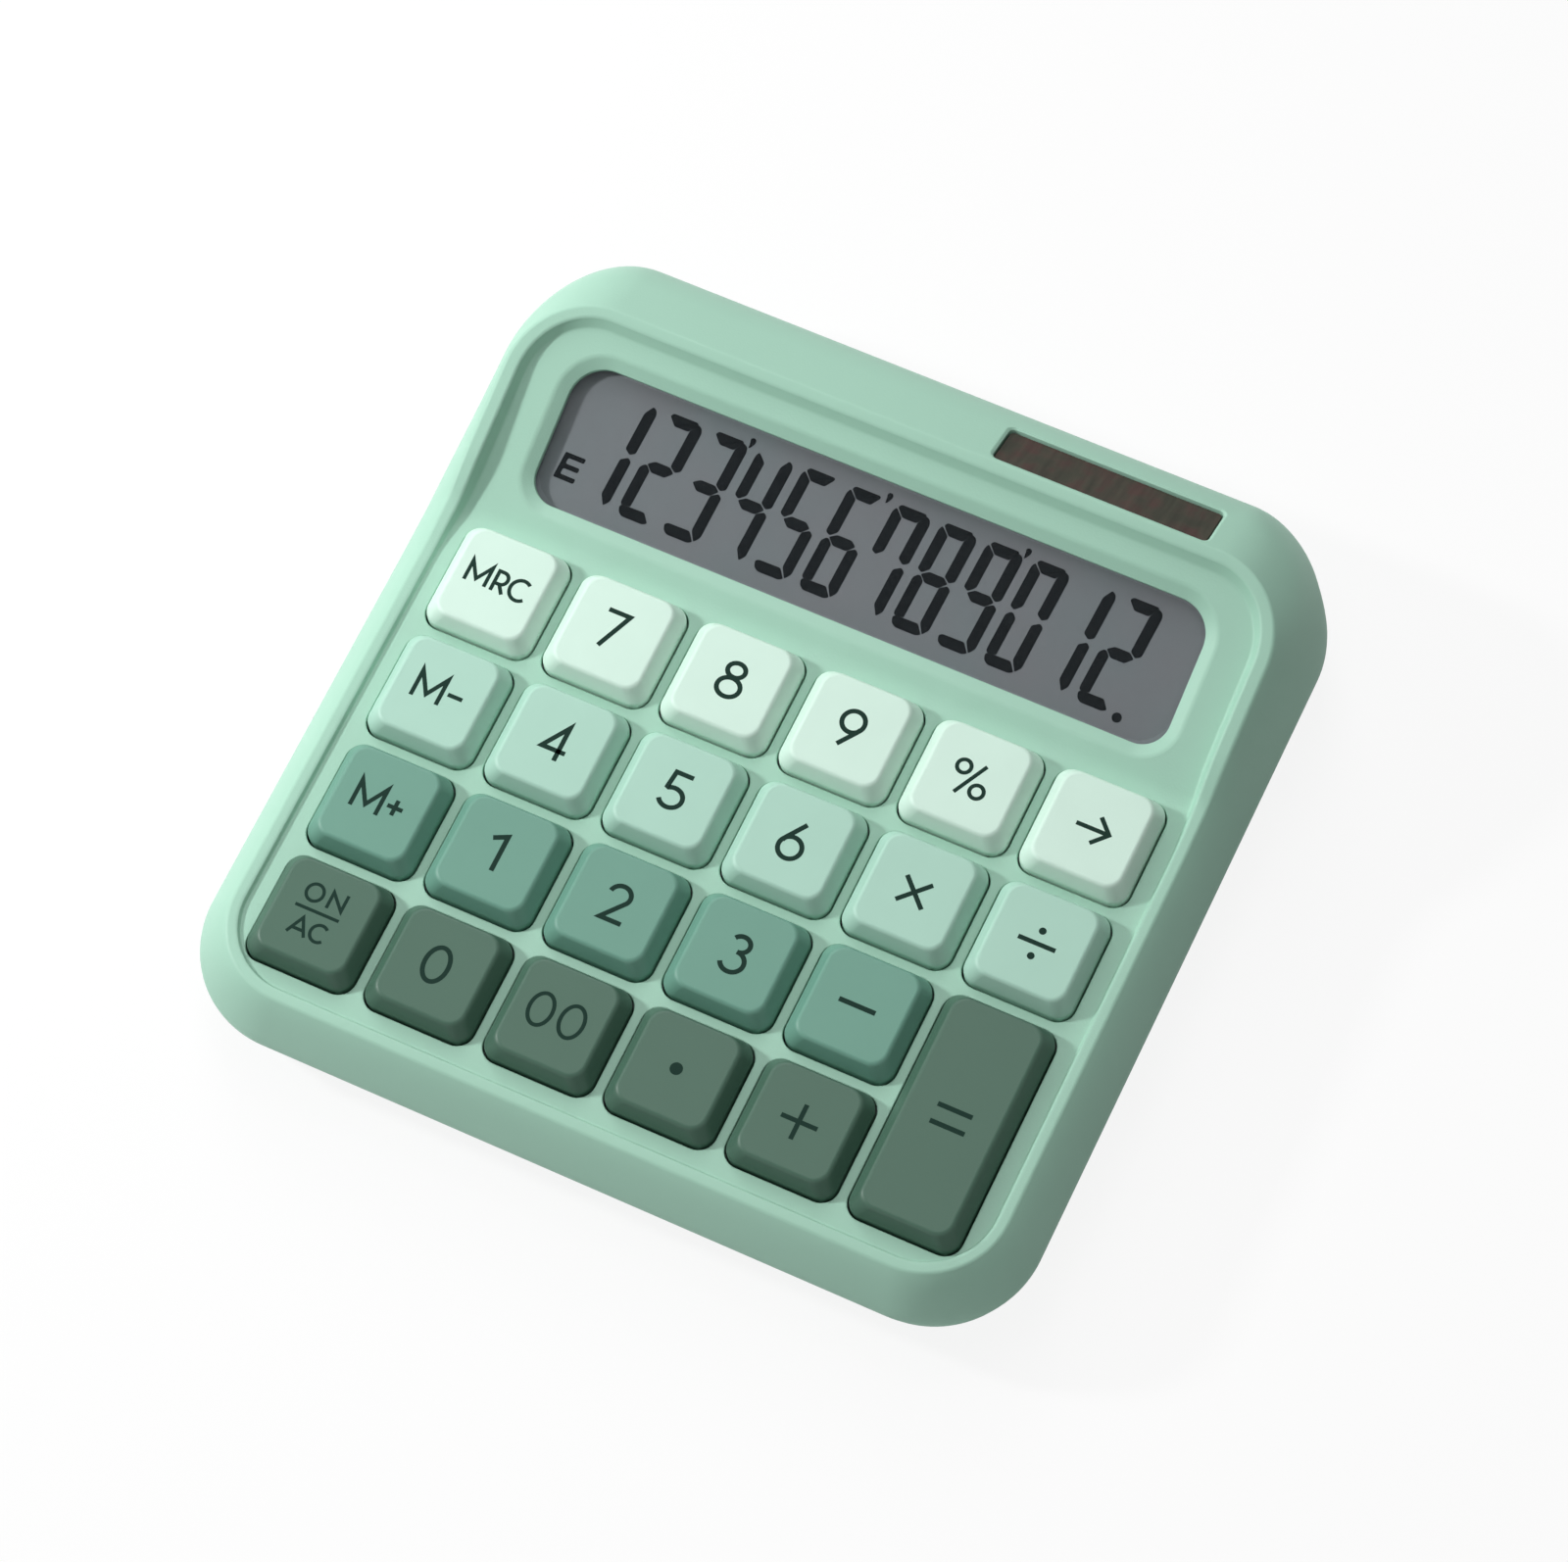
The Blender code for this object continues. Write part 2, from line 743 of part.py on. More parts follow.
def make_key_plate(finish):
    top = deck_height - plate_drop
    low, high = top - 2 * plate_thickness, top + plate_thickness
    half = switch_size / 2 + gap
    holes = []
    for _, x, y, length, _ in keys():
        holes.append(
            [rounded(half, half, switch_corner_radius, z, (x, y), steps=2) for z in (low, high)]
        )
        if length > 1:
            radius = guide_stem_radius + 2 * stem_clearance
            for side in (-guide_offset, guide_offset):
                holes.append(cylinder(radius, low, high, (x, y + side)))
    key_field_sheet("key_plate", plate_margin, top, plate_thickness, finish, holes)


def make_main_board(finish):
    top = deck_height - board_drop
    low, high = top - 2 * board_thickness, top + board_thickness
    holes = [cylinder(pin_radius + gap, low, high, place) for place in post_places()]
    key_field_sheet("main_board", board_margin, top, board_thickness, finish, holes)


def make_plate_in(name, width, depth, radius, top, thickness, place, finish):
    """A thin rounded plate lying under the surface of the display panel or the back band."""
    rings = [rounded(width / 2, depth / 2, radius, -top - drop, steps=5) for drop in (thickness, 0)]
    add_object(name, loft(name, rings, place=place), finish)


def make_display():
    lens = material("display_lens", "C9D2D3", 0.08, transmission=0.9)
    lcd = material("lcd_panel", "6F7476", 0.3)
    make_plate_in(
        "display_lens",
        window_width - 2 * gap,
        window_depth - 2 * gap,
        window_radius - gap,
        lens_drop,
        lens_thickness,
        panel_place(),
        lens,
    )
    make_plate_in(
        "lcd_panel",
        window_width + 2 * lcd_overlap,
        window_depth + lcd_overlap,
        window_radius,
        lens_drop + lens_thickness + gap,
        lcd_thickness,
        panel_place(),
        lcd,
    )


def make_solar_cell():
    finish = material("solar_cell", "4A4239", 0.3)
    make_plate_in(
        "solar_cell",
        cell_window_width - 2 * gap,
        cell_window_depth - 2 * gap,
        cell_window_radius - gap,
        cell_drop,
        cell_thickness,
        band_place(),
        finish,
    )


def make_battery(finish):
    """The coin cell and the round cover that turns in the base to release it."""
    steel = material("coin_cell", "B9BCBE", 0.3, metallic=1.0)
    low = base_height + cover_thickness + gap
    cell = loft("coin_cell", cylinder(coin_radius, 0, coin_thickness, count=round_sides))
    add_object("coin_cell", cell, steel, (coin_x, coin_y, low))
    disc = loft("battery_cover", cylinder(cover_radius, 0, cover_thickness, count=round_sides))
    cover = add_object("battery_cover", disc, finish, (coin_x, coin_y, base_height))
    slot = [
        rounded(cover_slot_length / 2, cover_slot_width / 2, cover_slot_width / 3, z)
        for z in (-cover_slot_depth, cover_slot_depth)
    ]
    cutter = add_cutter("coin_slot", loft("coin_slot", slot))
    cutter.location = cover.location
    combine(cover, "DIFFERENCE", cutter)


def make_feet():
    half = body_width / 2 - foot_inset
    for side, x in (("left", -half), ("right", half)):
        for end, y in (("front", front + foot_inset), ("back", back - foot_inset)):
            name = f"foot_{end}_{side}"
            finish = material(name, "8C9591", 0.8)
            disc = cylinder(foot_radius, 0, base_height - gap, count=round_sides)
            add_object(name, loft(name, disc), finish, (x, y, 0))


def main():
    clear_scene()
    make_top_case(material("top_case", "A9D3C1"))
    make_bottom_case(material("bottom_case", "A9D3C1"))
    make_key_plate(material("key_plate", "A8ABAD", 0.35, metallic=1.0))
    make_main_board(material("main_board", "2F5B3F", 0.5))
    for name, x, y, length, colour in keys():
        make_keycap(name, x, y, length, colour)
        make_switch(name, x, y)
        if length > 1:
            make_stabiliser(x, y)
    make_display()
    make_solar_cell()
    make_battery(material("battery_cover", "A9D3C1"))
    make_feet()


main()
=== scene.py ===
import json
from math import atan, cos, pi, radians, sin, sqrt, tan

import bmesh
import bpy
from mathutils import Euler, Matrix, Vector

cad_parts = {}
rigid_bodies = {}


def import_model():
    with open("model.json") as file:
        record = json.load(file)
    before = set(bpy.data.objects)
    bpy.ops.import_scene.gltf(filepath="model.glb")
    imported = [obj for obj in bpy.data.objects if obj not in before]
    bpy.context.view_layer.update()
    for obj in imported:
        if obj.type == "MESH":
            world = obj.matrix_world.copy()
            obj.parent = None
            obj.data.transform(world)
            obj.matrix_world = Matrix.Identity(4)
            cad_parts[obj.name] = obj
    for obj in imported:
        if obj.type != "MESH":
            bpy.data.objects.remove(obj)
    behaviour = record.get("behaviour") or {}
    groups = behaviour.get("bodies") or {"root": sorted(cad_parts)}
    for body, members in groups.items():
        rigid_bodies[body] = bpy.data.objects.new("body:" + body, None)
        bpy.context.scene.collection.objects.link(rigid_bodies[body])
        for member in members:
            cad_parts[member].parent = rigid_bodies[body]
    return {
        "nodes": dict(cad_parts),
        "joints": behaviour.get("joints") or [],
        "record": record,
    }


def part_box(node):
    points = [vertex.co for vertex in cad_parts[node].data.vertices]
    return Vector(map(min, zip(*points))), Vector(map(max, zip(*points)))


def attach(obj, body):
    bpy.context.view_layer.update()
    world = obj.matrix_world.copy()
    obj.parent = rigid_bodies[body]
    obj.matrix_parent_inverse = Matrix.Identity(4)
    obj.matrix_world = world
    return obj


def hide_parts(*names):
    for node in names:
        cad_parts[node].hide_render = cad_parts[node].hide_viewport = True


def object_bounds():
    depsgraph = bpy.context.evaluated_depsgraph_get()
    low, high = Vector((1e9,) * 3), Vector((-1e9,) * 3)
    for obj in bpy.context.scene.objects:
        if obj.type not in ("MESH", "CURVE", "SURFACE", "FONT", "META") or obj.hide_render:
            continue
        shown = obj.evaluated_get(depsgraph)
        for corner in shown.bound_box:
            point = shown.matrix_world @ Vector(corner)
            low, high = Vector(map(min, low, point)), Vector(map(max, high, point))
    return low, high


for item in list(bpy.data.objects):
    bpy.data.objects.remove(item, do_unlink=True)
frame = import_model()
cadBox = [list(corner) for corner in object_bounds()]
nodes = frame["nodes"]
keyNames = [name for name in nodes if name.startswith("key_") and name != "key_plate"]
footNames = [name for name in nodes if name.startswith("foot_")]
mm = 0.001
print("frame loaded:", len(nodes), "nodes")


# ---- materials

def linearRgb(code):
    shares = [int(code[i : i + 2], 16) / 255 for i in (0, 2, 4)]
    return [s / 12.92 if s <= 0.04045 else ((s + 0.055) / 1.055) ** 2.4 for s in shares] + [1.0]


def wire(tree, node, links):
    for key, socket in dict(links).items():
        tree.links.new(socket, node.inputs[key])


def addNode(tree, kind, settings=(), links=()):
    # capitalised and numbered settings are sockets, the others belong to the node itself
    node = tree.nodes.new(kind)
    for key, value in dict(settings).items():
        if isinstance(key, int) or key in node.inputs:
            node.inputs[key].default_value = value
        else:
            setattr(node, key, value)
    wire(tree, node, links)
    return node


def newMaterial(name, settings):
    made = bpy.data.materials.new(name)
    made.use_nodes = True
    shader = made.node_tree.nodes["Principled BSDF"]
    for key, value in settings.items():
        shader.inputs[key].default_value = value
    place = addNode(made.node_tree, "ShaderNodeTexCoord").outputs["Object"]
    return made, made.node_tree, shader, place


def cloudNoise(tree, size, detail, place):
    # soft noise from 0 to 1, with clouds of about the given size
    settings = {"Scale": 1 / size, "Detail": detail}
    return addNode(tree, "ShaderNodeTexNoise", settings, {"Vector": place}).outputs["Fac"]


def blend(tree, low, high, share):
    settings = {"data_type": "RGBA", 6: low, 7: high}
    return addNode(tree, "ShaderNodeMix", settings, {0: share}).outputs[2]


def between(tree, low, high, value, start=0.0, end=1.0):
    settings = {"From Min": start, "From Max": end, "To Min": low, "To Max": high}
    return addNode(tree, "ShaderNodeMapRange", settings, {"Value": value}).outputs["Result"]


def multiplied(tree, first, second):
    settings = {"operation": "MULTIPLY"}
    return addNode(tree, "ShaderNodeVectorMath", settings, {0: first, 1: second}).outputs["Vector"]


def brightened(colour, factor):
    return [share * factor for share in colour[:3]] + [1.0]


def mouldedPlastic(name, code, finish):
    # A dyed thermoplastic from a spark-textured steel mould. The eye gets an even, slightly milky
    # colour with faint flow clouds, and a fine grain that breaks up every highlight.
    settings = {"IOR": finish["ior"], "Specular IOR Level": finish["sheen"]}
    made, tree, shader, place = newMaterial(name, settings)
    clouds = cloudNoise(tree, finish["cloud"], 2.0, place)
    base = linearRgb(code)
    dark, light = brightened(base, 1 - finish["shift"]), brightened(base, 1 + finish["shift"])
    grain = cloudNoise(tree, finish["grain"], 3.0, place)
    dull = between(tree, finish["roughness"] - 0.05, finish["roughness"] + 0.05, grain)
    depth = {"Strength": finish["depth"], "Distance": finish["grain"] / 4}
    bump = addNode(tree, "ShaderNodeBump", depth, {"Height": grain})
    tint = blend(tree, dark, light, clouds)
    links = {"Base Color": tint, "Roughness": dull, "Normal": bump.outputs["Normal"]}
    wire(tree, shader, links)
    return made


absFinish = {
    "ior": 1.53,  # ABS
    "roughness": 0.5,
    "sheen": 0.3,
    "cloud": 35 * mm,
    "shift": 0.03,
    "grain": 0.35 * mm,  # drawn three times coarser than the mould's 0.1 mm, so that it shows
    "depth": 0.25,
}
pbtFinish = {
    "ior": 1.56,  # PBT
    "roughness": 0.45,
    "sheen": 0.3,
    "cloud": 9 * mm,
    "shift": 0.035,
    "grain": 0.25 * mm,  # keycaps are textured more finely than the case
    "depth": 0.18,
}
rubberFinish = {
    "ior": 1.5,
    "roughness": 0.85,
    "sheen": 0.3,
    "cloud": 3 * mm,
    "shift": 0.08,
    "grain": 0.3 * mm,
    "depth": 0.5,
}
nylonFinish = {
    "ior": 1.53,
    "roughness": 0.55,
    "sheen": 0.5,
    "cloud": 5 * mm,
    "shift": 0.05,
    "grain": 0.2 * mm,
    "depth": 0.3,
}
caseColour = "A1CBB7"
capColours = {
    "back_row_keys": "D0EBDD",
    "third_row_keys": "A8D0BF",
    "second_row_keys": "669685",
    "front_row_keys": "3F6050",
}
mouldedAbsCase = mouldedPlastic("mouldedAbsCase", caseColour, absFinish)
capMaterials = {
    slot: mouldedPlastic("mouldedPbt_" + slot, code, pbtFinish)
    for slot, code in capColours.items()
}
softRubber = mouldedPlastic("softRubber", "8C9591", rubberFinish)
blackNylon = mouldedPlastic("mouldedBlackNylon", "3A3F42", nylonFinish)
naturalAcetal = mouldedPlastic("mouldedNaturalAcetal", "D8D4C8", nylonFinish)
solderMask = mouldedPlastic("greenSolderMask", "2F5B3F", nylonFinish)


def dullColour(name, ior, size, low, high):
    # a dull surface that drifts a little between two colours
    settings = {"Roughness": 0.6, "IOR": ior, "Specular IOR Level": 0.05}
    made, tree, shader, place = newMaterial(name, settings)
    tint = blend(tree, linearRgb(low), linearRgb(high), cloudNoise(tree, size, 2.0, place))
    wire(tree, shader, {"Base Color": tint})
    return made


def metalFinish(name, code, roughness, stretch):
    # Plated sheet steel: a grey mirror drawn out along the grain of the rolled sheet
    made, tree, shader, place = newMaterial(name, {"Metallic": 1.0, "Roughness": roughness})
    spread = addNode(tree, "ShaderNodeMapping", {"Scale": stretch}, {"Vector": place})
    lines = cloudNoise(tree, 0.4 * mm, 3.0, spread.outputs["Vector"])
    base = linearRgb(code)
    tint = blend(tree, brightened(base, 0.88), base, lines)
    dull = between(tree, roughness - 0.08, roughness + 0.08, lines)
    wire(tree, shader, {"Base Color": tint, "Roughness": dull})
    return made


def polariserFilm():
    # Grey polarising film over a reflector: flat and matt, with a slow drift between blue-grey
    # and warm grey, and the fine sparkle of the reflector's beads
    settings = {"Roughness": 0.6, "IOR": 1.5, "Specular IOR Level": 0.1}
    made, tree, shader, place = newMaterial("polariserFilm", settings)
    drift = cloudNoise(tree, 14 * mm, 1.0, place)
    slow = blend(tree, linearRgb("818D90"), linearRgb("88888D"), drift)
    sparkle = between(tree, 0.94, 1.06, cloudNoise(tree, 0.25 * mm, 2.0, place))
    wire(tree, shader, {"Base Color": multiplied(tree, slow, sparkle)})
    return made


def siliconFilm():
    # Amorphous silicon under clear film: dark brown with blotches of rust and olive where the
    # layer's thickness varies, and slanted wipe lines in the film
    settings = {"Roughness": 0.35, "IOR": 1.5, "Specular IOR Level": 0.15}
    made, tree, shader, place = newMaterial("amorphousSilicon", settings)
    blotch = cloudNoise(tree, 3.2 * mm, 2.0, place)
    hue = addNode(tree, "ShaderNodeValToRGB", links={"Fac": blotch})
    hue.color_ramp.elements[0].position = 0.36
    hue.color_ramp.elements[0].color = linearRgb("37382E")
    hue.color_ramp.elements[1].position = 0.66
    hue.color_ramp.elements[1].color = linearRgb("463530")
    middle = hue.color_ramp.elements.new(0.5)
    middle.color = linearRgb("3E3A31")
    slanted = addNode(
        tree,
        "ShaderNodeMapping",
        {"Rotation": (0.0, 0.0, radians(-22)), "Scale": (1.0, 0.12, 0.12)},
        {"Vector": place},
    )
    wipes = cloudNoise(tree, 1.1 * mm, 2.0, slanted.outputs["Vector"])
    shine = between(tree, 0.82, 1.2, wipes, 0.3, 0.7)
    wire(tree, shader, {"Base Color": multiplied(tree, hue.outputs["Color"], shine)})
    return made


def hardCoatedAcrylic():
    # Cast acrylic with an anti-glare coat: nearly all the light passes, and what it reflects is
    # spread into a faint haze by the coat's fine grain
    settings = {
        "Base Color": linearRgb("202426"),
        "Alpha": 0.08,
        "IOR": 1.49,
        "Specular IOR Level": 0.2,
    }
    made, tree, shader, place = newMaterial("hardCoatedAcrylic", settings)
    coat = between(tree, 0.25, 0.35, cloudNoise(tree, 0.3 * mm, 2.0, place))
    wire(tree, shader, {"Roughness": coat})
    return made


# dye pressed into the cap by heat: only its colour shows
dyedLegend = dullColour("sublimatedDyeLegend", 1.56, 0.2 * mm, "182F29", "20382F")
zincPlatedSteel = metalFinish("zincPlatedSteel", "A8ABAD", 0.4, (0.05, 1.0, 1.0))
nickelPlatedSteel = metalFinish("nickelPlatedSteel", "B9BCBE", 0.25, (1.0, 0.1, 1.0))
filmGrey = polariserFilm()
# liquid crystal switched on: near black behind the film, a little blue where it thins out
crystalDark = dullColour("switchedCrystal", 1.5, 1.5 * mm, "13171A", "1B2023")
siliconBrown = siliconFilm()
clearAcrylic = hardCoatedAcrylic()
print("materials made")


# ---- building blocks

def quarter(steps):
    return [pi / 2 * step / steps for step in range(steps + 1)]


def roundedOutline(halfX, halfY, radius, steps, low=None):
    # a rounded rectangle, anticlockwise from the right; its lower corners may have their own radius
    low = radius if low is None else low
    points = []
    corners = ((1, 1, radius, 0), (-1, 1, radius, 90), (-1, -1, low, 180), (1, -1, low, 270))
    for sideX, sideY, bend, start in corners:
        for step in range(steps + 1):
            angle = radians(start + 90 * step / steps)
            x = sideX * (halfX - bend) + bend * cos(angle)
            points.append((x, sideY * (halfY - bend) + bend * sin(angle)))
    return points


def startRing(bm, points):
    ring = [bm.verts.new(point) for point in points]
    for i, vert in enumerate(ring):
        bm.edges.new((ring[i - 1], vert))
    return ring


def growRing(bm, ring, points):
    # extrudes a closed ring of edges and moves the new ring to the points
    edges = [bm.edges.get((ring[i - 1], vert)) for i, vert in enumerate(ring)]
    made = bmesh.ops.extrude_edge_only(bm, edges=edges)["geom"]
    fresh = {item for item in made if isinstance(item, bmesh.types.BMVert)}
    grown = []
    for vert, point in zip(ring, points):
        partner = next(e.other_vert(vert) for e in vert.link_edges if e.other_vert(vert) in fresh)
        grown.append(partner)
        partner.co = point
    return grown


def tube(bm, rings):
    # a closed body through rings of points, flat at both ends
    ring = startRing(bm, rings[0])
    bm.faces.new(ring)
    for points in rings[1:]:
        ring = growRing(bm, ring, points)
    bm.faces.new(ring)


def curvePoint(start, corner, end, share):
    # a point on the curve that rounds off the corner between start and end
    return start.lerp(corner, share).lerp(corner.lerp(end, share), share)


def middleOf(low, high):
    return ((low.x + high.x) / 2, (low.y + high.y) / 2)


def atHeight(points, z, centre=(0, 0)):
    return [Vector((x + centre[0], y + centre[1], z)) for x, y in points]


def helperOf(name, bm, place=None):
    bmesh.ops.remove_doubles(bm, verts=bm.verts, dist=1e-7)
    bmesh.ops.recalc_face_normals(bm, faces=bm.faces)
    mesh = bpy.data.meshes.new(name)
    bm.to_mesh(mesh)
    bm.free()
    if place:
        mesh.transform(place)
    helper = bpy.data.objects.new(name, mesh)
    bpy.context.collection.objects.link(helper)
    return helper


def tubeOf(name, rings, place=None):
    bm = bmesh.new()
    tube(bm, rings)
    return helperOf(name, bm, place)


def combine(piece, operation, helpers):
    # makes the result the piece's own mesh, and clears the helpers away
    for helper in helpers:
        step = piece.modifiers.new(helper.name, "BOOLEAN")
        step.operation = operation
        step.solver = "EXACT"
        step.object = helper
    graph = bpy.context.evaluated_depsgraph_get()
    mesh = bpy.data.meshes.new_from_object(piece.evaluated_get(graph))
    piece.modifiers.clear()
    piece.data = mesh
    for helper in helpers:
        bpy.data.objects.remove(helper, do_unlink=True)


def finishPiece(piece, material, body, replaced=(), sharp=35):
    mesh = piece.data
    mesh.materials.clear()
    mesh.materials.append(material)
    mesh.shade_smooth()
    mesh.set_sharp_from_angle(angle=radians(sharp))
    step = piece.modifiers.new("evenNormals", "WEIGHTED_NORMAL")
    step.keep_sharp = True
    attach(piece, body)
    if replaced:
        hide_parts(*replaced)
    return piece


# ---- top case

shell = {
    "waistDrop": 8.5 * mm,
    "partingDrop": 10.6 * mm,
    "partingInset": 1.1 * mm,
    "partingThickness": 1.5 * mm,
    "frontRadius": 17.4 * mm,
    "backRadius": 18.8 * mm,
    "rimHeight": 2.6 * mm,  # at its highest, beside the display
    "keyRimHeight": 0.8 * mm,
    "climbStart": -10.0 * mm,  # from the bend
    "climbEnd": 8.0 * mm,
    "rimFall": 0.05,  # how much the rim loses on the deck behind the climb
    # where the rim's wall starts, from the deck's edge, and its run
    "keyWall": (0.65 * mm, 0.35 * mm),
    "panelWall": (-0.4 * mm, 1.05 * mm),
    "backWall": (-0.1 * mm, 1.15 * mm),
    "rimRounding": 0.65 * mm,
    "rimFoot": 0.35 * mm,
    "footRoom": 1.2,  # times the foot, left between it and the flat deck
    "rimWidth": 3.3 * mm,
    "crestRounding": 1.0 * mm,
    "crestTurn": radians(50),
    "sideSlope": 4.7 * mm,
    "frontSlope": 4.1 * mm,
    "backSlope": 13.55 * mm,
    "deckRadius": 10.5 * mm,
    "crestRadius": 14.0 * mm,
    "panelTilt": radians(18.5),
    "panelStart": 11.0 * mm,
    "bendRadius": 8.0 * mm,
    "bandTilt": radians(26),
    "bandRounding": 12.0 * mm,
    "wall": 2.0 * mm,
    "cornerSteps": 28,
    "bendSteps": 12,
    "climbSteps": 11,
    "slopeSteps": 28,
    "waistSteps": 5,
    "waistRoom": 0.33 * mm,  # lost again where the widest edge is rounded
    "waistShare": 0.7,  # of the way down to the parting line
    "lipStep": 0.15 * mm,
    "lipRise": 2.5 * mm,
    "ceilingInset": -0.1,  # as a share of the rim's width
    "edgeSteps": 6,
}
halfWidth = cadBox[1][0]
front, back = cadBox[0][1], cadBox[1][1]
deckZ = frame["joints"][0]["pos_m"][2]
backRowY = sum(corner.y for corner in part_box("key_7")) / 2
crestY = back - shell["backSlope"]
bendY = backRowY + shell["panelStart"]
bendLow = bendY - shell["bendRadius"] * tan(shell["panelTilt"] / 2)
bendHigh = bendLow + shell["bendRadius"] * sin(shell["panelTilt"])
backTurn = atan(tan(shell["panelTilt"]) - shell["rimFall"] + tan(shell["bandTilt"]))
waistZ = deckZ - shell["waistDrop"]
partingZ = deckZ - shell["partingDrop"]
climbLow, climbHigh = bendY + shell["climbStart"], bendY + shell["climbEnd"]
sideStations = [
    bendLow + shell["bendRadius"] * sin(shell["panelTilt"] * step / shell["bendSteps"])
    for step in range(shell["bendSteps"] + 1)
]
sideStations += [
    climbLow + (climbHigh - climbLow) * step / shell["climbSteps"]
    for step in range(shell["climbSteps"] + 1)
]
sideStations.sort()


def caseOutline(half, low, high, lowRadius, highRadius):
    # up the right side from front to back, then down the left side
    turns = quarter(shell["cornerSteps"])
    right = [
        (half - lowRadius * (1 - sin(turn)), low + lowRadius * (1 - cos(turn))) for turn in turns
    ]
    right += [(half, y) for y in sideStations]
    right += [
        (half - highRadius * (1 - cos(turn)), high - highRadius * (1 - sin(turn))) for turn in turns
    ]
    return right + [(-x, y) for x, y in reversed(right)]


def waistRing(inset, z):
    points = caseOutline(
        halfWidth - inset,
        front + inset,
        back - inset,
        shell["frontRadius"] - inset,
        shell["backRadius"] - inset,
    )
    return atHeight(points, z)


def deckHeight(y):
    if y <= bendLow:
        return deckZ
    if y >= bendHigh:
        return deckZ + (y - bendY) * tan(shell["panelTilt"])
    return deckZ + shell["bendRadius"] - sqrt(shell["bendRadius"] ** 2 - (y - bendLow) ** 2)


def climbShare(y):
    # 0 beside the keys, 1 beside the display
    t = min(max((y - climbLow) / (climbHigh - climbLow), 0), 1)
    return t * t * (3 - 2 * t)


def rimShare(y):
    # the rim's height as a share of its greatest height
    least = shell["keyRimHeight"] / shell["rimHeight"]
    lost = shell["rimFall"] * max(y - climbHigh, 0) / shell["rimHeight"]
    return least + (1 - least) * climbShare(y) - lost


def rimRing(share, rise):
    # share 0 is the deck's edge, share 1 the outer edge of the crest
    inset = shell["rimWidth"] * (1 - share)
    radius = shell["deckRadius"] + (shell["crestRadius"] - shell["deckRadius"]) * share
    half = halfWidth - shell["sideSlope"] - inset
    low = front + shell["frontSlope"] + inset
    ring = []
    for x, y in caseOutline(half, low, crestY - inset, radius, radius):
        ring.append(Vector((x, y, deckHeight(y) + rise * (rimShare(y) if rise > 0 else 1))))
    return ring


def backShares(count):
    # 0 on the sides, 1 at the back, eased through the back corners
    corner = shell["cornerSteps"] + 1
    right = [0.0] * (count // 2 - corner)
    right += [s * s * (3 - 2 * s) for s in (j / (corner - 1) for j in range(corner))]
    return right + right[::-1]


def rimRings():
    # a soft foot, the straight wall and a rounded shoulder
    width, rounding, foot = shell["rimWidth"], shell["rimRounding"], shell["rimFoot"]
    shoulder = shell["rimHeight"] - rounding
    profiles = []
    for start, run in (shell["keyWall"], shell["panelWall"], shell["backWall"]):
        run *= shoulder / shell["rimHeight"]
        low, corner = Vector((start - foot, 0)), Vector((start, 0))
        high = corner + Vector((run, shoulder)) * foot / shoulder
        points = []
        for step in range(1, shell["edgeSteps"] + 1):
            s = step / shell["edgeSteps"]
            points.append(curvePoint(low, corner, high, s))
        for turn in quarter(shell["edgeSteps"]):
            across = start + run + rounding * (1 - cos(turn))
            points.append(Vector((across, shoulder + rounding * sin(turn))))
        profiles.append(points)
    rings = []
    for three in zip(*profiles):
        keys, panel, behind = [rimRing(point.x / width, point.y) for point in three]
        sides = [a.lerp(b, climbShare(b.y)) for a, b in zip(keys, panel)]
        rings.append([a.lerp(b, share) for a, b, share in zip(sides, behind, backShares(len(sides)))])
    return rings


def crestRings():
    inner = rimRing(1 - shell["crestRounding"] / shell["rimWidth"], shell["rimHeight"])
    outer = rimRing(1, shell["rimHeight"])
    rings = []
    for step in range(shell["edgeSteps"] + 1):
        ring = []
        for near, far, share in zip(inner, outer, backShares(len(outer))):
            turn = shell["crestTurn"] * (1 - share) + backTurn * share
            turn *= step / shell["edgeSteps"]
            point = near.lerp(far, sin(turn))
            point.z -= shell["crestRounding"] * (1 - cos(turn))
            ring.append(point)
        rings.append(ring)
    return rings


def slopeRings(crest):
    # steepening down the front and sides; a flat band, rounded at its foot, down the back
    room = shell["waistRoom"]
    radii = (shell["frontRadius"] + room, shell["backRadius"] + room / 2)
    waist = atHeight(caseOutline(halfWidth + room, front - room, back, *radii), waistZ)
    width = back - max(point.y for point in crest)
    drop = max(point.z for point in crest) - waistZ
    tilt = shell["bandTilt"]
    bandRun = width - shell["bandRounding"] * (1 - sin(tilt))
    bandFall = bandRun * tan(tilt)
    footFall = bandFall + shell["bandRounding"] * cos(tilt)
    steps = shell["slopeSteps"]
    bandSteps = steps // 3
    rings = []
    for step in range(steps + 1):
        if step <= bandSteps:
            run, fall = bandRun * step / bandSteps, bandFall * step / bandSteps
        elif step < steps:
            angle = tilt + (pi / 2 - tilt) * (step - bandSteps) / (steps - 1 - bandSteps)
            run = bandRun + shell["bandRounding"] * (sin(angle) - sin(tilt))
            fall = bandFall + shell["bandRounding"] * (cos(tilt) - cos(angle))
        else:
            run, fall = width, drop
        part = step / steps
        ring = []
        for top, low, share in zip(crest, waist, backShares(len(crest))):
            across = part * (1 - share) + run / width * share
            height = (1 - part * (1 + part) / 2) * (1 - share) + (1 - fall / drop) * share
            point = top.lerp(low, across)
            point.z = low.z + (top.z - low.z) * height
            ring.append(point)
        rings.append(ring)
    return rings


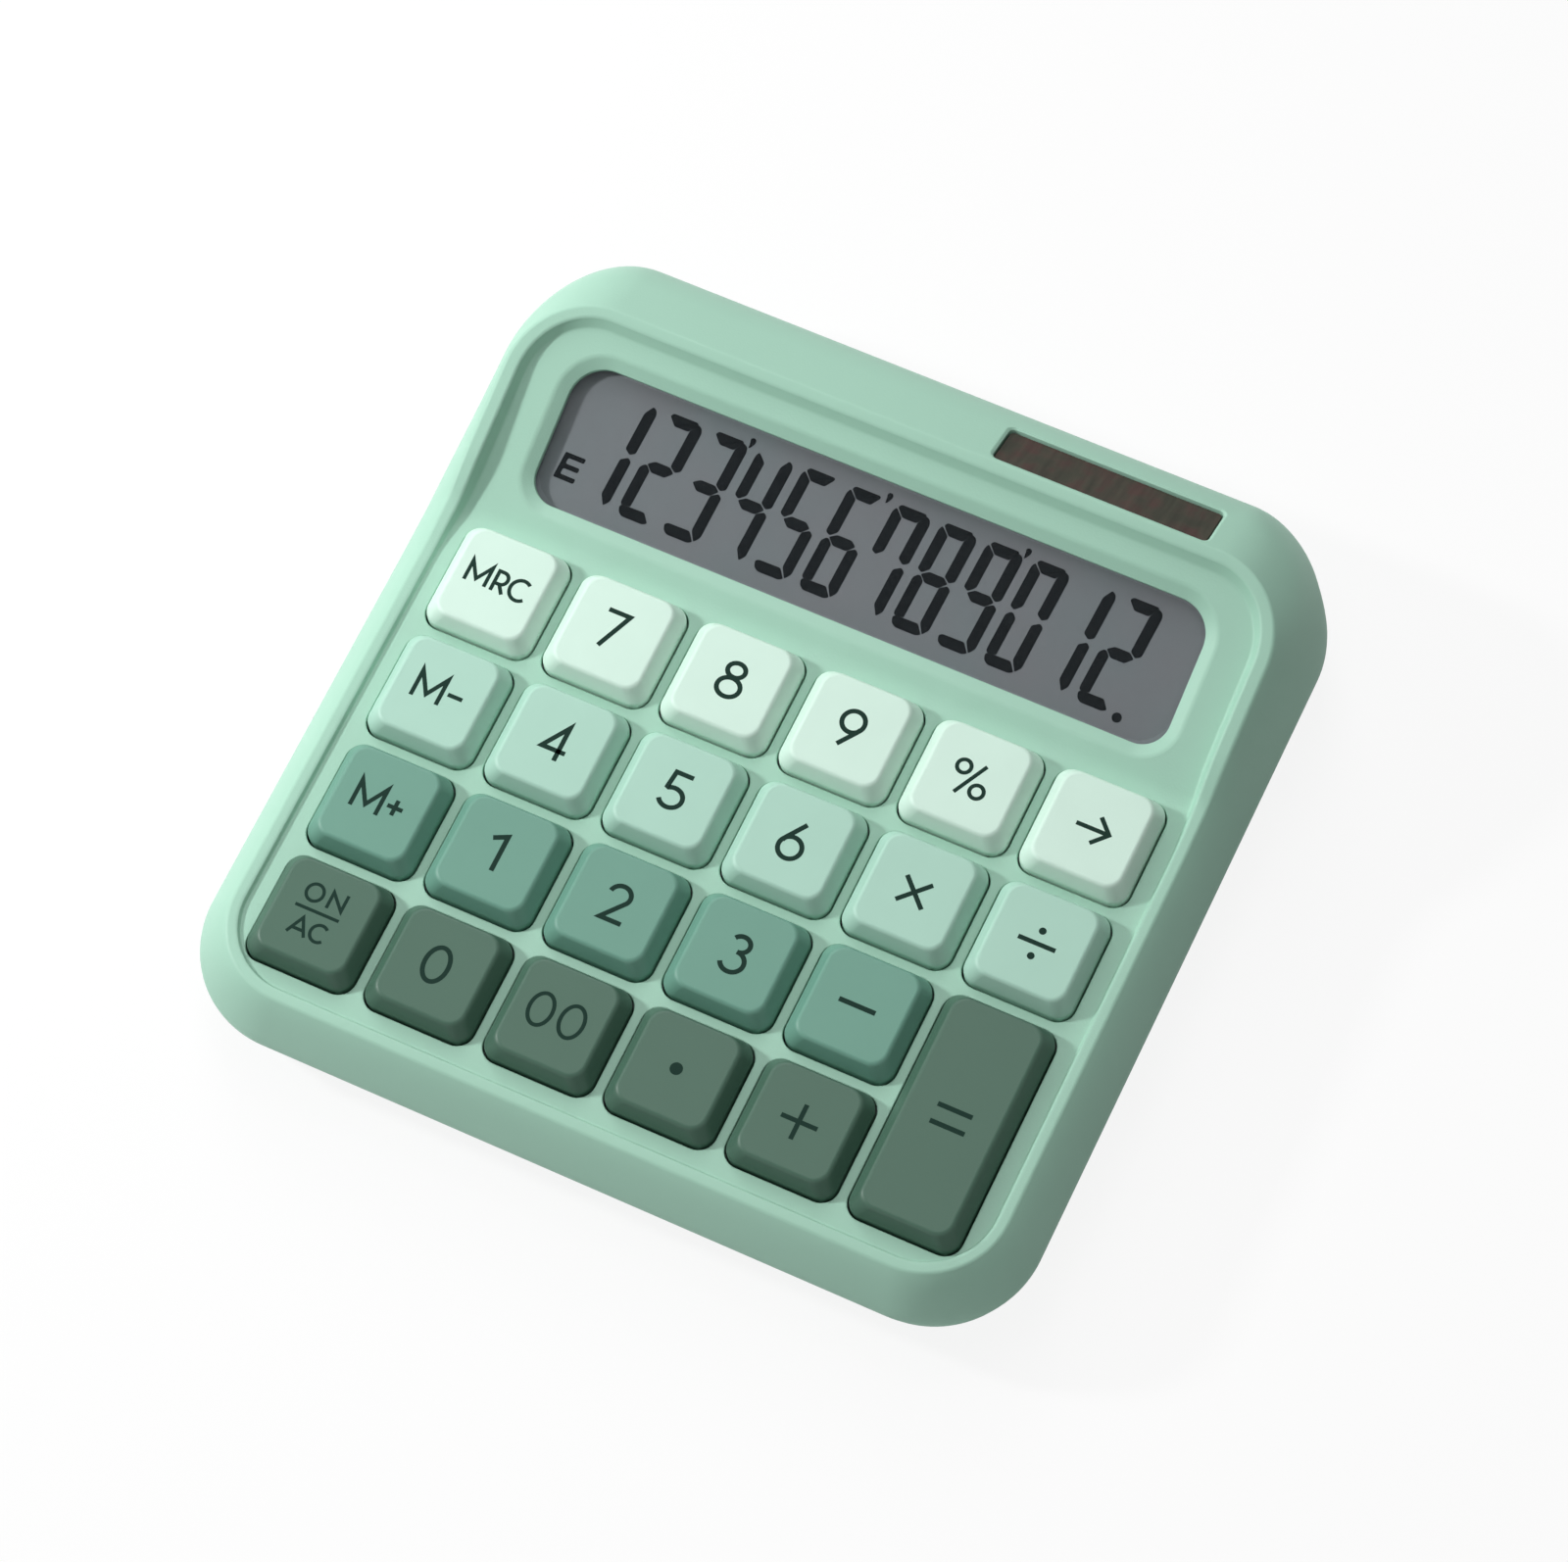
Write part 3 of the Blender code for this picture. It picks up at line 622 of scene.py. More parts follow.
def roundedWaist(slope, parting):
    # turns the case's widest edge over in a curve, and ends on the top case's lower edge
    start, waist = slope[-1 - shell["waistSteps"]], slope[-1]
    rings = slope[: -shell["waistSteps"]]
    for step in range(1, shell["edgeSteps"] + 1):
        s = step / shell["edgeSteps"]
        ring = []
        for high, corner, low in zip(start, waist, parting):
            ring.append(curvePoint(high, corner, corner.lerp(low, shell["waistShare"]), s))
        rings.append(ring)
    return rings + [parting]


def panelPlace():
    # the display panel's own frame: x across, y up the slope, z out of it
    y = (bendY + crestY - shell["rimWidth"]) / 2
    return Matrix.Translation((0, y, deckHeight(y))) @ Matrix.Rotation(shell["panelTilt"], 4, "X")


def bandPlace():
    topY = crestY - shell["crestRounding"] * (1 - sin(backTurn))
    topZ = deckHeight(topY) + shell["rimHeight"] * rimShare(topY)
    topZ -= shell["crestRounding"] * (1 - cos(backTurn))
    y = (topY + back - shell["bandRounding"] * (1 - sin(shell["bandTilt"]))) / 2
    x = sum(corner.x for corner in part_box("solar_cell")) / 2
    z = topZ - (y - topY) * tan(shell["bandTilt"])
    place = Matrix.Translation((x, y, z)) @ Matrix.Rotation(-shell["bandTilt"], 4, "X")
    return place @ Matrix.Translation((0, openings["solarShift"], 0))


openings = {
    "keySpace": 0.15 * mm,
    "keyRadius": 2.9 * mm,
    "keyEdge": 0.2 * mm,
    "windowHalf": (53.5 * mm, 11.5 * mm),
    "windowRadius": 5.8 * mm,
    "windowLowRadius": 4.4 * mm,
    "windowBevel": 2.0 * mm,
    "windowDrop": 1.0 * mm,
    "solarHalf": (17.9 * mm, 4.0 * mm),
    "solarShift": 0.7 * mm,  # down the band
    "solarRadius": 1.0 * mm,
    "solarBevel": 0.4 * mm,
    "solarDrop": 0.3 * mm,
    "keyCut": 6.9 * mm,
    "windowCut": 6.0 * mm,
    "windowSoften": 0.25 * mm,
    "solarCut": 4.0 * mm,
    "solarSoften": 0.1 * mm,
    "cutRise": 3.0 * mm,
    "edgeSteps": 5,
}


def filletLevels(edge, deep):
    # (outset, height) from a hole's wall round its edge and on above the surface
    levels = [(0, -deep)]
    for turn in (0, 20, 40, 60, 80):
        angle = radians(turn)
        levels.append((edge * (1 - cos(angle)), -edge * (1 - sin(angle))))
    across, z = levels[-1]
    beyond = 0.3 * edge
    levels.append((across + beyond, z + beyond / tan(angle)))
    return levels + [(across + beyond, 2 * mm)]


def keyHoles():
    bm = bmesh.new()
    for name in keyNames:
        low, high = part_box(name)
        centre = middleOf(low, high)
        rings = []
        for outset, z in filletLevels(openings["keyEdge"], openings["keyCut"]):
            grow = openings["keySpace"] + outset
            half = ((high.x - low.x) / 2 + grow, (high.y - low.y) / 2 + grow)
            outline = roundedOutline(*half, openings["keyRadius"] + outset, 8)
            rings.append(atHeight(outline, deckZ + z, centre))
        tube(bm, rings)
    return helperOf("keyHoles", bm)


def windowLevels(bevel, drop, deep, soften):
    # (outset, height) up the wall, over a softened edge, up the bevel and over the outer edge
    slope = atan(drop / bevel)
    along = Vector((cos(slope), sin(slope)))
    inner, outer = soften / tan((pi / 2 + slope) / 2), soften * 2
    low, high = Vector((0, -drop)), Vector((bevel, 0))
    steps = openings["edgeSteps"]
    shares = [step / steps for step in range(steps + 1)]
    levels = [Vector((0, -deep))]
    levels += [curvePoint(low - Vector((0, inner)), low, low + along * inner, s) for s in shares]
    end = high + Vector((outer, 0))
    levels += [curvePoint(high - along * outer, high, end, 0.9 * s) for s in shares]
    rest = levels[-1] - levels[-2]
    over = levels[-1] + rest * (-levels[-1].y * 1.5 / rest.y)
    return levels + [over, Vector((over.x, openings["cutRise"]))]


def windowHole(name, half, radii, levels, place):
    rings = []
    for outset, z in levels:
        halfX, halfY, radius, lowRadius = [size + outset for size in (*half, *radii)]
        rings.append(atHeight(roundedOutline(halfX, halfY, radius, 16, lowRadius), z))
    return tubeOf(name, rings, place)


def fillAcross(bm, ring):
    # closes a case outline with strips from its right side to its left
    for i in range(len(ring) // 2 - 1):
        bm.faces.new((ring[i], ring[i + 1], ring[-i - 2], ring[-i - 1]))


def makeTopCase():
    bm = bmesh.new()
    inmost = shell["panelWall"][0] - shell["rimFoot"] * shell["footRoom"]
    ring = startRing(bm, rimRing(inmost / shell["rimWidth"], 0))
    fillAcross(bm, ring)
    crest = crestRings()
    slope = slopeRings(crest[-1])[1:]
    inset, step = shell["partingInset"], shell["lipStep"]
    parting = waistRing(inset, partingZ + step)
    for points in rimRings() + crest + roundedWaist(slope, parting):
        ring = growRing(bm, ring, points)
    inner = inset + shell["partingThickness"]
    for across, z in ((inset + step, 0), (inner, 0), (inner, shell["lipRise"])):
        ring = growRing(bm, ring, waistRing(across, partingZ + z))
    ring = growRing(bm, ring, rimRing(shell["ceilingInset"], -shell["wall"]))
    fillAcross(bm, ring)
    piece = helperOf("caseTop", bm)
    holes = [keyHoles()]
    for kind, lowRadius, place in (
        ("window", openings["windowLowRadius"], panelPlace()),
        ("solar", openings["solarRadius"], bandPlace()),
    ):
        measures = [openings[kind + part] for part in ("Bevel", "Drop", "Cut", "Soften")]
        radii = (openings[kind + "Radius"], lowRadius)
        half, levels = openings[kind + "Half"], windowLevels(*measures)
        holes.append(windowHole(kind + "Hole", half, radii, levels, place))
    combine(piece, "DIFFERENCE", holes)
    finishPiece(piece, mouldedAbsCase, "case", ["top_case"])


makeTopCase()
print("top case made")


# ---- bottom case

base = {
    "inset": 8.0 * mm,
    "height": 1.0 * mm,
    "steps": 16,
    "seam": 0.3 * mm,
    "screwPlaces": [(x * mm, y * mm) for x in (-40, 40) for y in (-40.75, -0.75)],
    "screwWell": 3.4 * mm,
    "screwDepth": 2.6 * mm,
    "footRecess": 6.35 * mm,
    "footDepth": 0.35 * mm,
    "chamfer": 0.3 * mm,
    "lipStep": 0.15 * mm,
    "lipDrop": 0.05 * mm,
    "lipSpace": 0.3 * mm,
    "lipRise": 1.6 * mm,
    "lipThickness": 1.2 * mm,
    "floorInset": 6.5 * mm,
    "floorHeight": 3.0 * mm,
    "coverSpace": 0.3 * mm,
    "coverChamfer": 0.4 * mm,
    "coinRadius": 10.5 * mm,
    "coinTop": 8.0 * mm,
}


def circleOutline(radius, count):
    return [(radius * cos(2 * pi * k / count), radius * sin(2 * pi * k / count)) for k in range(count)]


def roundWell(name, centre, levels, count=64):
    rings = [atHeight(circleOutline(radius, count), z, centre) for radius, z in levels]
    return tubeOf(name, rings)


def makeBottomCase():
    edgeZ = partingZ - base["seam"]
    inset = shell["partingInset"]
    rings = []
    for turn in reversed(quarter(base["steps"])):
        across = inset + (base["inset"] - inset) * (1 - cos(turn))
        rings.append(waistRing(across, edgeZ - (edgeZ - base["height"]) * sin(turn)))
    lipZ = edgeZ + base["lipDrop"]
    lip = inset + shell["partingThickness"] + base["lipSpace"]
    rings += [waistRing(inset + base["lipStep"], lipZ), waistRing(lip, lipZ)]
    for across in (lip, lip + base["lipThickness"]):
        rings.append(waistRing(across, edgeZ + base["lipRise"]))
    rings.append(waistRing(base["floorInset"], base["floorHeight"]))
    piece = tubeOf("caseBottom", rings)
    holes = []
    low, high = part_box("battery_cover")
    floorZ, chamfer = base["height"], base["coverChamfer"]
    radius, coin = (high.x - low.x) / 2 + base["coverSpace"], base["coinRadius"]
    wellZ = high.z + base["coverSpace"]
    well = [(radius + chamfer, 0.0), (radius + chamfer, floorZ), (radius, floorZ + chamfer)]
    well += [(radius, wellZ), (coin, wellZ), (coin, base["coinTop"])]
    holes.append(roundWell("coverWell", middleOf(low, high), well, 96))
    radius, chamfer = base["screwWell"], base["chamfer"]
    wide = radius + chamfer
    well = [(wide, 0.0), (wide, floorZ), (radius, floorZ + chamfer), (radius, base["screwDepth"])]
    for index, place in enumerate(base["screwPlaces"]):
        holes.append(roundWell("screwWell" + str(index), place, well))
    radius = base["footRecess"]
    well = [(radius, 0.0), (radius, floorZ + base["footDepth"])]
    for name in footNames:
        holes.append(roundWell("recess_" + name, middleOf(*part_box(name)), well))
    combine(piece, "DIFFERENCE", holes)
    finishPiece(piece, mouldedAbsCase, "case", ["bottom_case"])


def turned(bm, profile, centre, count=64):
    # spins a profile of (radius, height) about a vertical axis
    verts = [bm.verts.new((radius, 0, z)) for radius, z in profile]
    edges = [bm.edges.new(pair) for pair in zip(verts, verts[1:])]
    bmesh.ops.spin(
        bm, geom=verts + edges, cent=(0, 0, 0), axis=(0, 0, 1), angle=2 * pi, steps=count, use_merge=True
    )
    bmesh.ops.remove_doubles(bm, verts=bm.verts, dist=1e-7)
    bmesh.ops.translate(bm, verts=bm.verts, vec=(centre[0], centre[1], 0))


pad = {
    "top": base["height"] + 0.3 * mm,
    "edge": 0.4 * mm,
    "steps": 5,
    # (share of the radius, height) across the hollow in the underside
    "hollow": [(0, 0.25 * mm), (0.62, 0.25 * mm), (0.68, 0.02 * mm), (0.74, 0)],
}
lid = {
    "edge": 0.3 * mm,
    "steps": 4,
    "slot": (6.0 * mm, 1.1 * mm, 1.0 * mm),
    "slotDepth": 0.7 * mm,
    # half lengths and distances from the middle of the grip grooves on either side
    "grooves": [(5.2 * mm, 4.4 * mm), (4.1 * mm, 6.3 * mm), (3.0 * mm, 8.2 * mm)],
    "grooveWidth": 0.3 * mm,
    "grooveRadius": 0.28 * mm,
    "grooveDepth": 0.3 * mm,
}
screw = {
    # (radius, height) in millimetres over the head and back to the middle
    "profile": [(0, 1.25), (1.2, 1.3), (2.2, 1.55), (2.75, 2.0), (2.75, 2.7), (0, 2.7)],
    "arm": (1.6 * mm, 0.3 * mm, 0.1 * mm),
    "armTop": 2.1 * mm,
    "turn": 0.4,  # from one screw to the next
}


def edgeProfile(radius, z, edge, steps):
    # (radius, height) round the lower edge of a disc
    turns = quarter(steps)
    return [(radius - edge * (1 - sin(turn)), z + edge * (1 - cos(turn))) for turn in turns]


def makeFeet():
    for name in footNames:
        low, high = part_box(name)
        centre = middleOf(low, high)
        radius, edge = (high.x - low.x) / 2, pad["edge"]
        profile = [(radius * share, z) for share, z in pad["hollow"]]
        profile += edgeProfile(radius, 0, edge, pad["steps"])
        profile += [(radius, pad["top"]), (0, pad["top"])]
        bm = bmesh.new()
        turned(bm, profile, centre)
        piece = helperOf("pad_" + name, bm)
        finishPiece(piece, softRubber, "case", [name])


def makeBatteryLid():
    low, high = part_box("battery_cover")
    centre = middleOf(low, high)
    radius = (high.x - low.x) / 2
    profile = [(0, low.z)] + edgeProfile(radius, low.z, lid["edge"], lid["steps"])
    profile += [(radius, high.z), (0, high.z)]
    bm = bmesh.new()
    turned(bm, profile, centre, 96)
    piece = helperOf("batteryLid", bm)
    marks = [("coinSlot", roundedOutline(*lid["slot"], 8), 0, lid["slotDepth"])]
    for side in (-1, 1):
        for half, away in lid["grooves"]:
            groove = roundedOutline(half, lid["grooveWidth"], lid["grooveRadius"], 4)
            marks.append(("gripGroove", groove, side * away, lid["grooveDepth"]))
    cuts = []
    for name, outline, away, deep in marks:
        spot = (centre[0], centre[1] + away)
        levels = (low.z - mm, low.z + deep)
        cuts.append(tubeOf(name, [atHeight(outline, z, spot) for z in levels]))
    combine(piece, "DIFFERENCE", cuts)
    finishPiece(piece, mouldedAbsCase, "battery_cover", ["battery_cover"])


def makeScrews():
    for index, (x, y) in enumerate(base["screwPlaces"]):
        bm = bmesh.new()
        turned(bm, [(radius * mm, z * mm) for radius, z in screw["profile"]], (x, y), 48)
        piece = helperOf("caseScrew" + str(index + 1), bm)
        cuts = []
        arm = roundedOutline(*screw["arm"], 2)
        for turn in (0, pi / 2):
            place = Matrix.Translation((x, y, 0))
            place = place @ Matrix.Rotation(turn + screw["turn"] * index, 4, "Z")
            levels = (0, screw["armTop"])
            cuts.append(tubeOf("crossArm", [atHeight(arm, z) for z in levels], place))
        combine(piece, "DIFFERENCE", cuts)
        finishPiece(piece, zincPlatedSteel, "case")


makeBottomCase()
makeFeet()
makeBatteryLid()
makeScrews()
print("bottom case, feet, battery lid and screws made")


# ---- keycaps

cap = {
    "rise": 3.3 * mm,
    "insetX": 1.6 * mm,
    "insetY": 1.05 * mm,
    "lean": 0.3 * mm,
    "edge": 0.5 * mm,
    "foot": 0.8 * mm,
    "shrink": 0.15 * mm,
    "radius": 2.6 * mm,
    "skirt": 3.6 * mm,
    "wall": 1.3 * mm,
    "roof": 1.6 * mm,
    "stem": 2.7 * mm,
    "stemLength": 7.9 * mm,
    "stemSunk": 0.6 * mm,
    "guideStem": 1.5 * mm,
    "guideAway": 11.94 * mm,  # from the middle of a two-row cap
    "steps": 12,
    "edgeSteps": 6,
    "sideShares": (0.6, 0.3, 0.1, 0.025),
}


def capRings(halfX, halfY):
    # from the flat top over the soft edge, down the sloping sides and the skirt, then up inside
    def level(insetX, insetY, z, radius):
        lean = cap["lean"] * max(0.0, z) / cap["rise"]
        outline = roundedOutline(halfX - insetX, halfY - insetY, radius, cap["steps"])
        return atHeight(outline, z, (0, lean))

    rise, edge, foot = cap["rise"], cap["edge"], cap["foot"]
    rings = []
    share = 1 - edge / (rise - foot)
    for step in range(cap["edgeSteps"] + 1):
        s = 1 - step / cap["edgeSteps"]
        bend = [(1 - s) ** 2, 2 * s * (1 - s), s * s]
        insets = [
            bend[0] * full * share + bend[1] * full + bend[2] * (full + edge)
            for full in (cap["insetX"], cap["insetY"])
        ]
        rings.append(level(*insets, rise - edge * bend[0], cap["radius"] - edge * bend[2]))
    for share in cap["sideShares"]:
        z = foot + (rise - foot) * share
        rings.append(level(cap["insetX"] * share, cap["insetY"] * share, z, cap["radius"]))
    for z in (0.7 * foot, -cap["skirt"]):
        rings.append(level(0, 0, z, cap["radius"]))
    wall = cap["wall"]
    insets = (cap["insetX"] + wall, cap["insetY"] + wall)
    for across, z in (((wall, wall), -cap["skirt"]), ((wall, wall), 0), (insets, rise - cap["roof"])):
        rings.append(level(*across, z, cap["radius"] - wall))
    return rings


def capSlot(node):
    rows = frame["record"]["subparts"]
    return next(row["material_slot"] for row in rows if row["node"] == node)


def makeCap(name):
    low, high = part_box(name)
    centre = middleOf(low, high)
    halfX, halfY = (high.x - low.x) / 2 - cap["shrink"], (high.y - low.y) / 2 - cap["shrink"]
    place = Matrix.Translation((*centre, deckZ))
    piece = tubeOf(name.replace("key_", "cap_"), capRings(halfX, halfY), place)
    stems = []
    places = [(0, cap["stem"])]
    if halfY > halfX * 1.5:
        places += [(side * cap["guideAway"], cap["guideStem"]) for side in (-1, 1)]
    roofZ = deckZ + cap["rise"] - cap["roof"]
    for y, radius in places:
        spot = (centre[0], centre[1] + y)
        levels = [(radius, roofZ - cap["stemLength"]), (radius, roofZ + cap["stemSunk"])]
        stems.append(roundWell("stem", spot, levels, 24))
    combine(piece, "UNION", stems)
    slot = capSlot(name)
    finishPiece(piece, capMaterials[slot], name, [name], sharp=50)


for name in keyNames:
    makeCap(name)
print("keycaps made:", len(keyNames))


# ---- legends

def bow(x, y, acrossX, acrossY, start, end):
    # points along an arc, from start to end in degrees
    count = max(4, round(abs(end - start) / 9))
    angles = [radians(start + (end - start) * k / count) for k in range(count + 1)]
    return [(x + acrossX * cos(a), y + acrossY * sin(a)) for a in angles]


def loop(x, y, acrossX, acrossY):
    return bow(x, y, acrossX, acrossY, 0, 360)[:-1] + ["closed"]


def letterM(left, right, low, high, dip):
    return [(left, low), (left, high), ((left + right) / 2, dip), (right, high), (right, low)]


def dot(x, y, radius):
    return loop(x, y, radius / 2, radius / 2) + [radius]


# strokes in millimetres from the key's centre, and the pen's width
legends = {
    "7": (0.76, [[(-2.3, 3.42), (1.33, 3.42), (-1.3, -2.7)]]),
    "8": (0.76, [loop(0, 2.0, 1.42, 1.22), loop(0, -1.0, 1.85, 1.6)]),
    "9": (0.76, [loop(-0.12, 1.5, 1.8, 1.8), [(1.42, 0.7), (1.1, 0.1), (-0.98, -2.75)]]),
    "4": (0.76, [[(1.07, -2.75), (1.07, 3.1), (-1.75, -1.1), (0.9, -1.1)], [(0.8, -1.1), (2.2, -1.1)]]),
    "5": (0.76, [[(1.85, 3.22), (-1.0, 3.22), (-1.3, 0.55)] + bow(-0.05, -0.95, 1.85, 1.65, 122, -155)]),
    "6": (0.76, [loop(-0.12, -1.05, 1.85, 1.8), [(-1.68, -0.3), (-1.4, 0.3), (0.78, 3.35)]]),
    "1": (0.78, [[(-1.65, 2.25), (0.45, 3.25), (0.45, -2.7)]]),
    "2": (0.76, [bow(0.05, 1.6, 1.68, 1.55, 172, -32) + [(-1.4, -2.6), (2.15, -2.6)]]),
    "3": (0.76, [bow(0.0, 1.88, 1.45, 1.3, 150, -90), bow(-0.1, -1.1, 1.85, 1.7, 90, -160)]),
    "0": (0.74, [loop(-0.2, 0.4, 1.9, 2.85)]),
    "double_zero": (0.62, [loop(-2.75, 0.45, 1.83, 2.65), loop(2.38, 0.45, 1.83, 2.65)]),
    "point": (1.0, [dot(-0.25, 0.2, 1.0)]),
    "plus": (0.74, [[(-3.05, 0.12), (2.85, 0.12)], [(-0.15, 3.0), (-0.15, -2.85)]]),
    "minus": (0.8, [[(-3.05, 0.1), (2.9, 0.1)]]),
    "multiply": (0.74, [[(-2.15, 2.15), (2.1, -2.1)], [(2.1, 2.15), (-2.15, -2.1)]]),
    "divide": (0.74, [[(-3.0, 0.0), (3.05, 0.0)], dot(0.03, 2.15, 0.58), dot(0.03, -2.15, 0.58)]),
    "percent": (
        0.62,
        [loop(-1.8, 1.7, 1.1, 1.1), loop(1.65, -1.45, 1.1, 1.1), [(1.45, 2.95), (-1.55, -2.75)]],
    ),
    "delete": (0.7, [[(-2.65, 0.2), (2.6, 0.2)], [(0.5, 2.45), (2.7, 0.2), (0.5, -2.1)]]),
    "equals": (0.78, [[(-2.75, 1.1), (2.85, 1.1)], [(-2.75, -1.75), (2.85, -1.75)]]),
    "memory_minus": (0.68, [letterM(-3.8, 0.5, -1.75, 2.75, -0.75), [(1.45, 0.55), (3.9, 0.55)]]),
    "memory_plus": (
        0.68,
        [
            letterM(-4.0, 0.3, -1.75, 2.75, -0.75),
            [(1.3, 0.5), (3.85, 0.5)],
            [(2.57, 1.8), (2.57, -0.8)],
        ],
    ),
    "memory_recall": (
        0.6,
        [
            letterM(-5.1, -1.7, -1.05, 2.45, -0.25),
            [(-0.55, -1.1), (-0.55, 2.7)],
            [(-0.4, 2.4), (0.3, 2.4)] + bow(0.3, 1.35, 1.0, 1.05, 75, -90) + [(-0.4, 0.3)],
            [(0.35, 0.3), (1.35, -1.15)],
            bow(3.75, 0.6, 1.65, 1.75, 48, 312),
        ],
    ),
    "on_clear": (
        0.52,
        [
            loop(-2.15, 3.3, 1.36, 1.4),
            [(0.5, 1.75), (0.5, 4.5), (2.8, 2.1), (2.8, 4.85)],
            [(-4.1, 0.55), (3.25, 0.55)],
            [(-3.35, -3.95), (-1.9, -1.0), (-0.45, -3.95)],
            [(-2.85, -3.0), (-0.95, -3.0)],
            bow(1.4, -2.45, 1.36, 1.4, 45, 315),
        ],
    ),
}
ink = {"sunk": 0.06 * mm, "proud": 0.012 * mm}


def penStroke(points, width, low, high):
    # a flat band with mitred corners, drawn out along the points and given its thickness
    points = list(points)
    if isinstance(points[-1], float):
        width = points.pop()
    closed = points[-1] == "closed"
    if closed:
        points.pop()
    path = [Vector(point) for point in points]
    count = len(path)
    pairs = []
    for i, point in enumerate(path):
        ahead = (path[(i + 1) % count] - point) if closed or i < count - 1 else None
        behind = (point - path[i - 1]) if closed or i else None
        ahead, behind = (ahead or behind).normalized(), (behind or ahead).normalized()
        normals = [Vector((-d.y, d.x)) for d in (behind, ahead)]
        side = (normals[0] + normals[1]) * (width / 2 / (1 + normals[0].dot(normals[1])))
        pairs.append((point + side, point - side))
    bm = bmesh.new()
    left, right = [bm.verts.new((*side, low)) for side in pairs[0]]
    first = edge = bm.edges.new((left, right))
    for pair in pairs[1:]:
        made = bmesh.ops.extrude_edge_only(bm, edges=[edge])["geom"]
        fresh = [item for item in made if isinstance(item, bmesh.types.BMVert)]
        fresh.sort(key=lambda vert: (vert.co - left.co).length)
        left, right = fresh
        left.co, right.co = (*pair[0], low), (*pair[1], low)
        edge = bm.edges.get((left, right))
    if closed:
        bmesh.ops.bridge_loops(bm, edges=[first, edge])
    bmesh.ops.remove_doubles(bm, verts=bm.verts, dist=1e-5)
    made = bmesh.ops.extrude_face_region(bm, geom=list(bm.faces))["geom"]
    bmesh.ops.translate(
        bm, verts=[item for item in made if isinstance(item, bmesh.types.BMVert)], vec=(0, 0, high - low)
    )
    return bm


def makeLegend(name):
    low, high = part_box("key_" + name)
    centre = middleOf(low, high)
    width, strokes = legends[name]
    place = Matrix.Translation((*centre, high.z)) @ Matrix.Scale(mm, 4)
    helpers = []
    for stroke in strokes:
        bm = penStroke(stroke, width, -ink["sunk"] / mm, ink["proud"] / mm)
        helpers.append(helperOf("legend_" + name, bm, place))
    piece = helpers.pop(0)
    if helpers:
        combine(piece, "UNION", helpers)
    finishPiece(piece, dyedLegend, "key_" + name)


for name in legends:
    makeLegend(name)
print("legends made:", len(legends))


# ---- display

display = {
    "shown": "123456789012",
    "pitch": 7.767 * mm,
    "firstDigit": -43.5 * mm,
    "middle": 0.12 * mm,
    "slant": 0.1,
    "filmDrop": 2.7 * mm,
    "thickness": 0.03 * mm,
    # in millimetres
    "widen": 0.09,
    "rounding": 0.22,
    "errorPlace": (-48.7, -4.95),
    "apostropheShift": (-0.95, -0.12),
    "stop": (3.3, -8.95),  # from the last digit
    "stopRadius": 0.78,
}
# the seven segments in millimetres from the digit's centre, before the slant
segments = {
    "a": [(-2.5, 8.4), (-2.2, 8.83), (1.85, 8.83), (2.0, 8.6), (1.05, 7.15), (-1.2, 7.15)],
    "b": [(2.15, 8.55), (2.75, 8.2), (3.03, 7.5), (3.03, 0.95), (2.3, 0.5), (1.35, 1.15), (1.35, 7.2)],
    "c": [(3.0, -0.65), (2.4, -0.2), (1.4, -0.85), (1.4, -6.75), (2.4, -8.25), (3.03, -7.4)],
    "d": [(-2.9, -7.5), (-2.5, -7.2), (1.05, -7.15), (2.15, -8.45), (1.6, -8.8), (-1.9, -8.8)]
    + [(-2.6, -8.3)],
    "e": [(-3.03, -0.75), (-2.5, -0.15), (-2.15, -0.15), (-1.45, -0.85), (-1.45, -6.95), (-2.8, -7.1)]
    + [(-3.03, -6.8)],
    "f": [(-3.03, 7.5), (-2.75, 8.1), (-1.4, 6.95), (-1.4, 1.35), (-2.3, 0.5), (-3.03, 0.9)],
    "g": [(-2.1, 0.15), (-1.15, 0.83), (1.25, 0.83), (2.1, 0.15), (1.15, -0.83), (-1.0, -0.83)],
}
lit = {
    "1": "bc", "2": "abged", "3": "abgcd", "4": "fgbc", "5": "afgcd",
    "6": "afgedc", "7": "fabc", "8": "abcdefg", "9": "abcdfg", "0": "abcdef",
}
errorSign = [(-1.75, -2.15), (-1.75, 2.15), (1.75, 2.15), (1.75, 1.35), (-0.9, 1.35), (-0.9, 0.42)]
errorSign += [(1.55, 0.42), (1.55, -0.38), (-0.9, -0.38), (-0.9, -1.35), (1.75, -1.35), (1.75, -2.15)]
apostrophe = [(3.85, 9.3), (3.65, 9.7), (3.85, 10.05), (4.3, 10.1), (4.65, 9.8), (4.65, 9.3)]
apostrophe += [(4.2, 8.4), (3.9, 8.35), (4.05, 8.95)]


def widened(outline, extra):
    # every side of an outline moved outwards, with its corners kept sharp
    points = [Vector(point) for point in outline]
    area = sum(a.cross(b) for a, b in zip(points, points[1:] + points[:1]))
    moved = []
    for before, here, after in zip(points[-1:] + points[:-1], points, points[1:] + points[:1]):
        first, second = (here - before).normalized(), (after - here).normalized()
        if area < 0:
            first, second = -second, -first
        out = Vector((first.y + second.y, -first.x - second.x))
        moved.append(here + out * extra / (1 + first.dot(second)))
    return moved


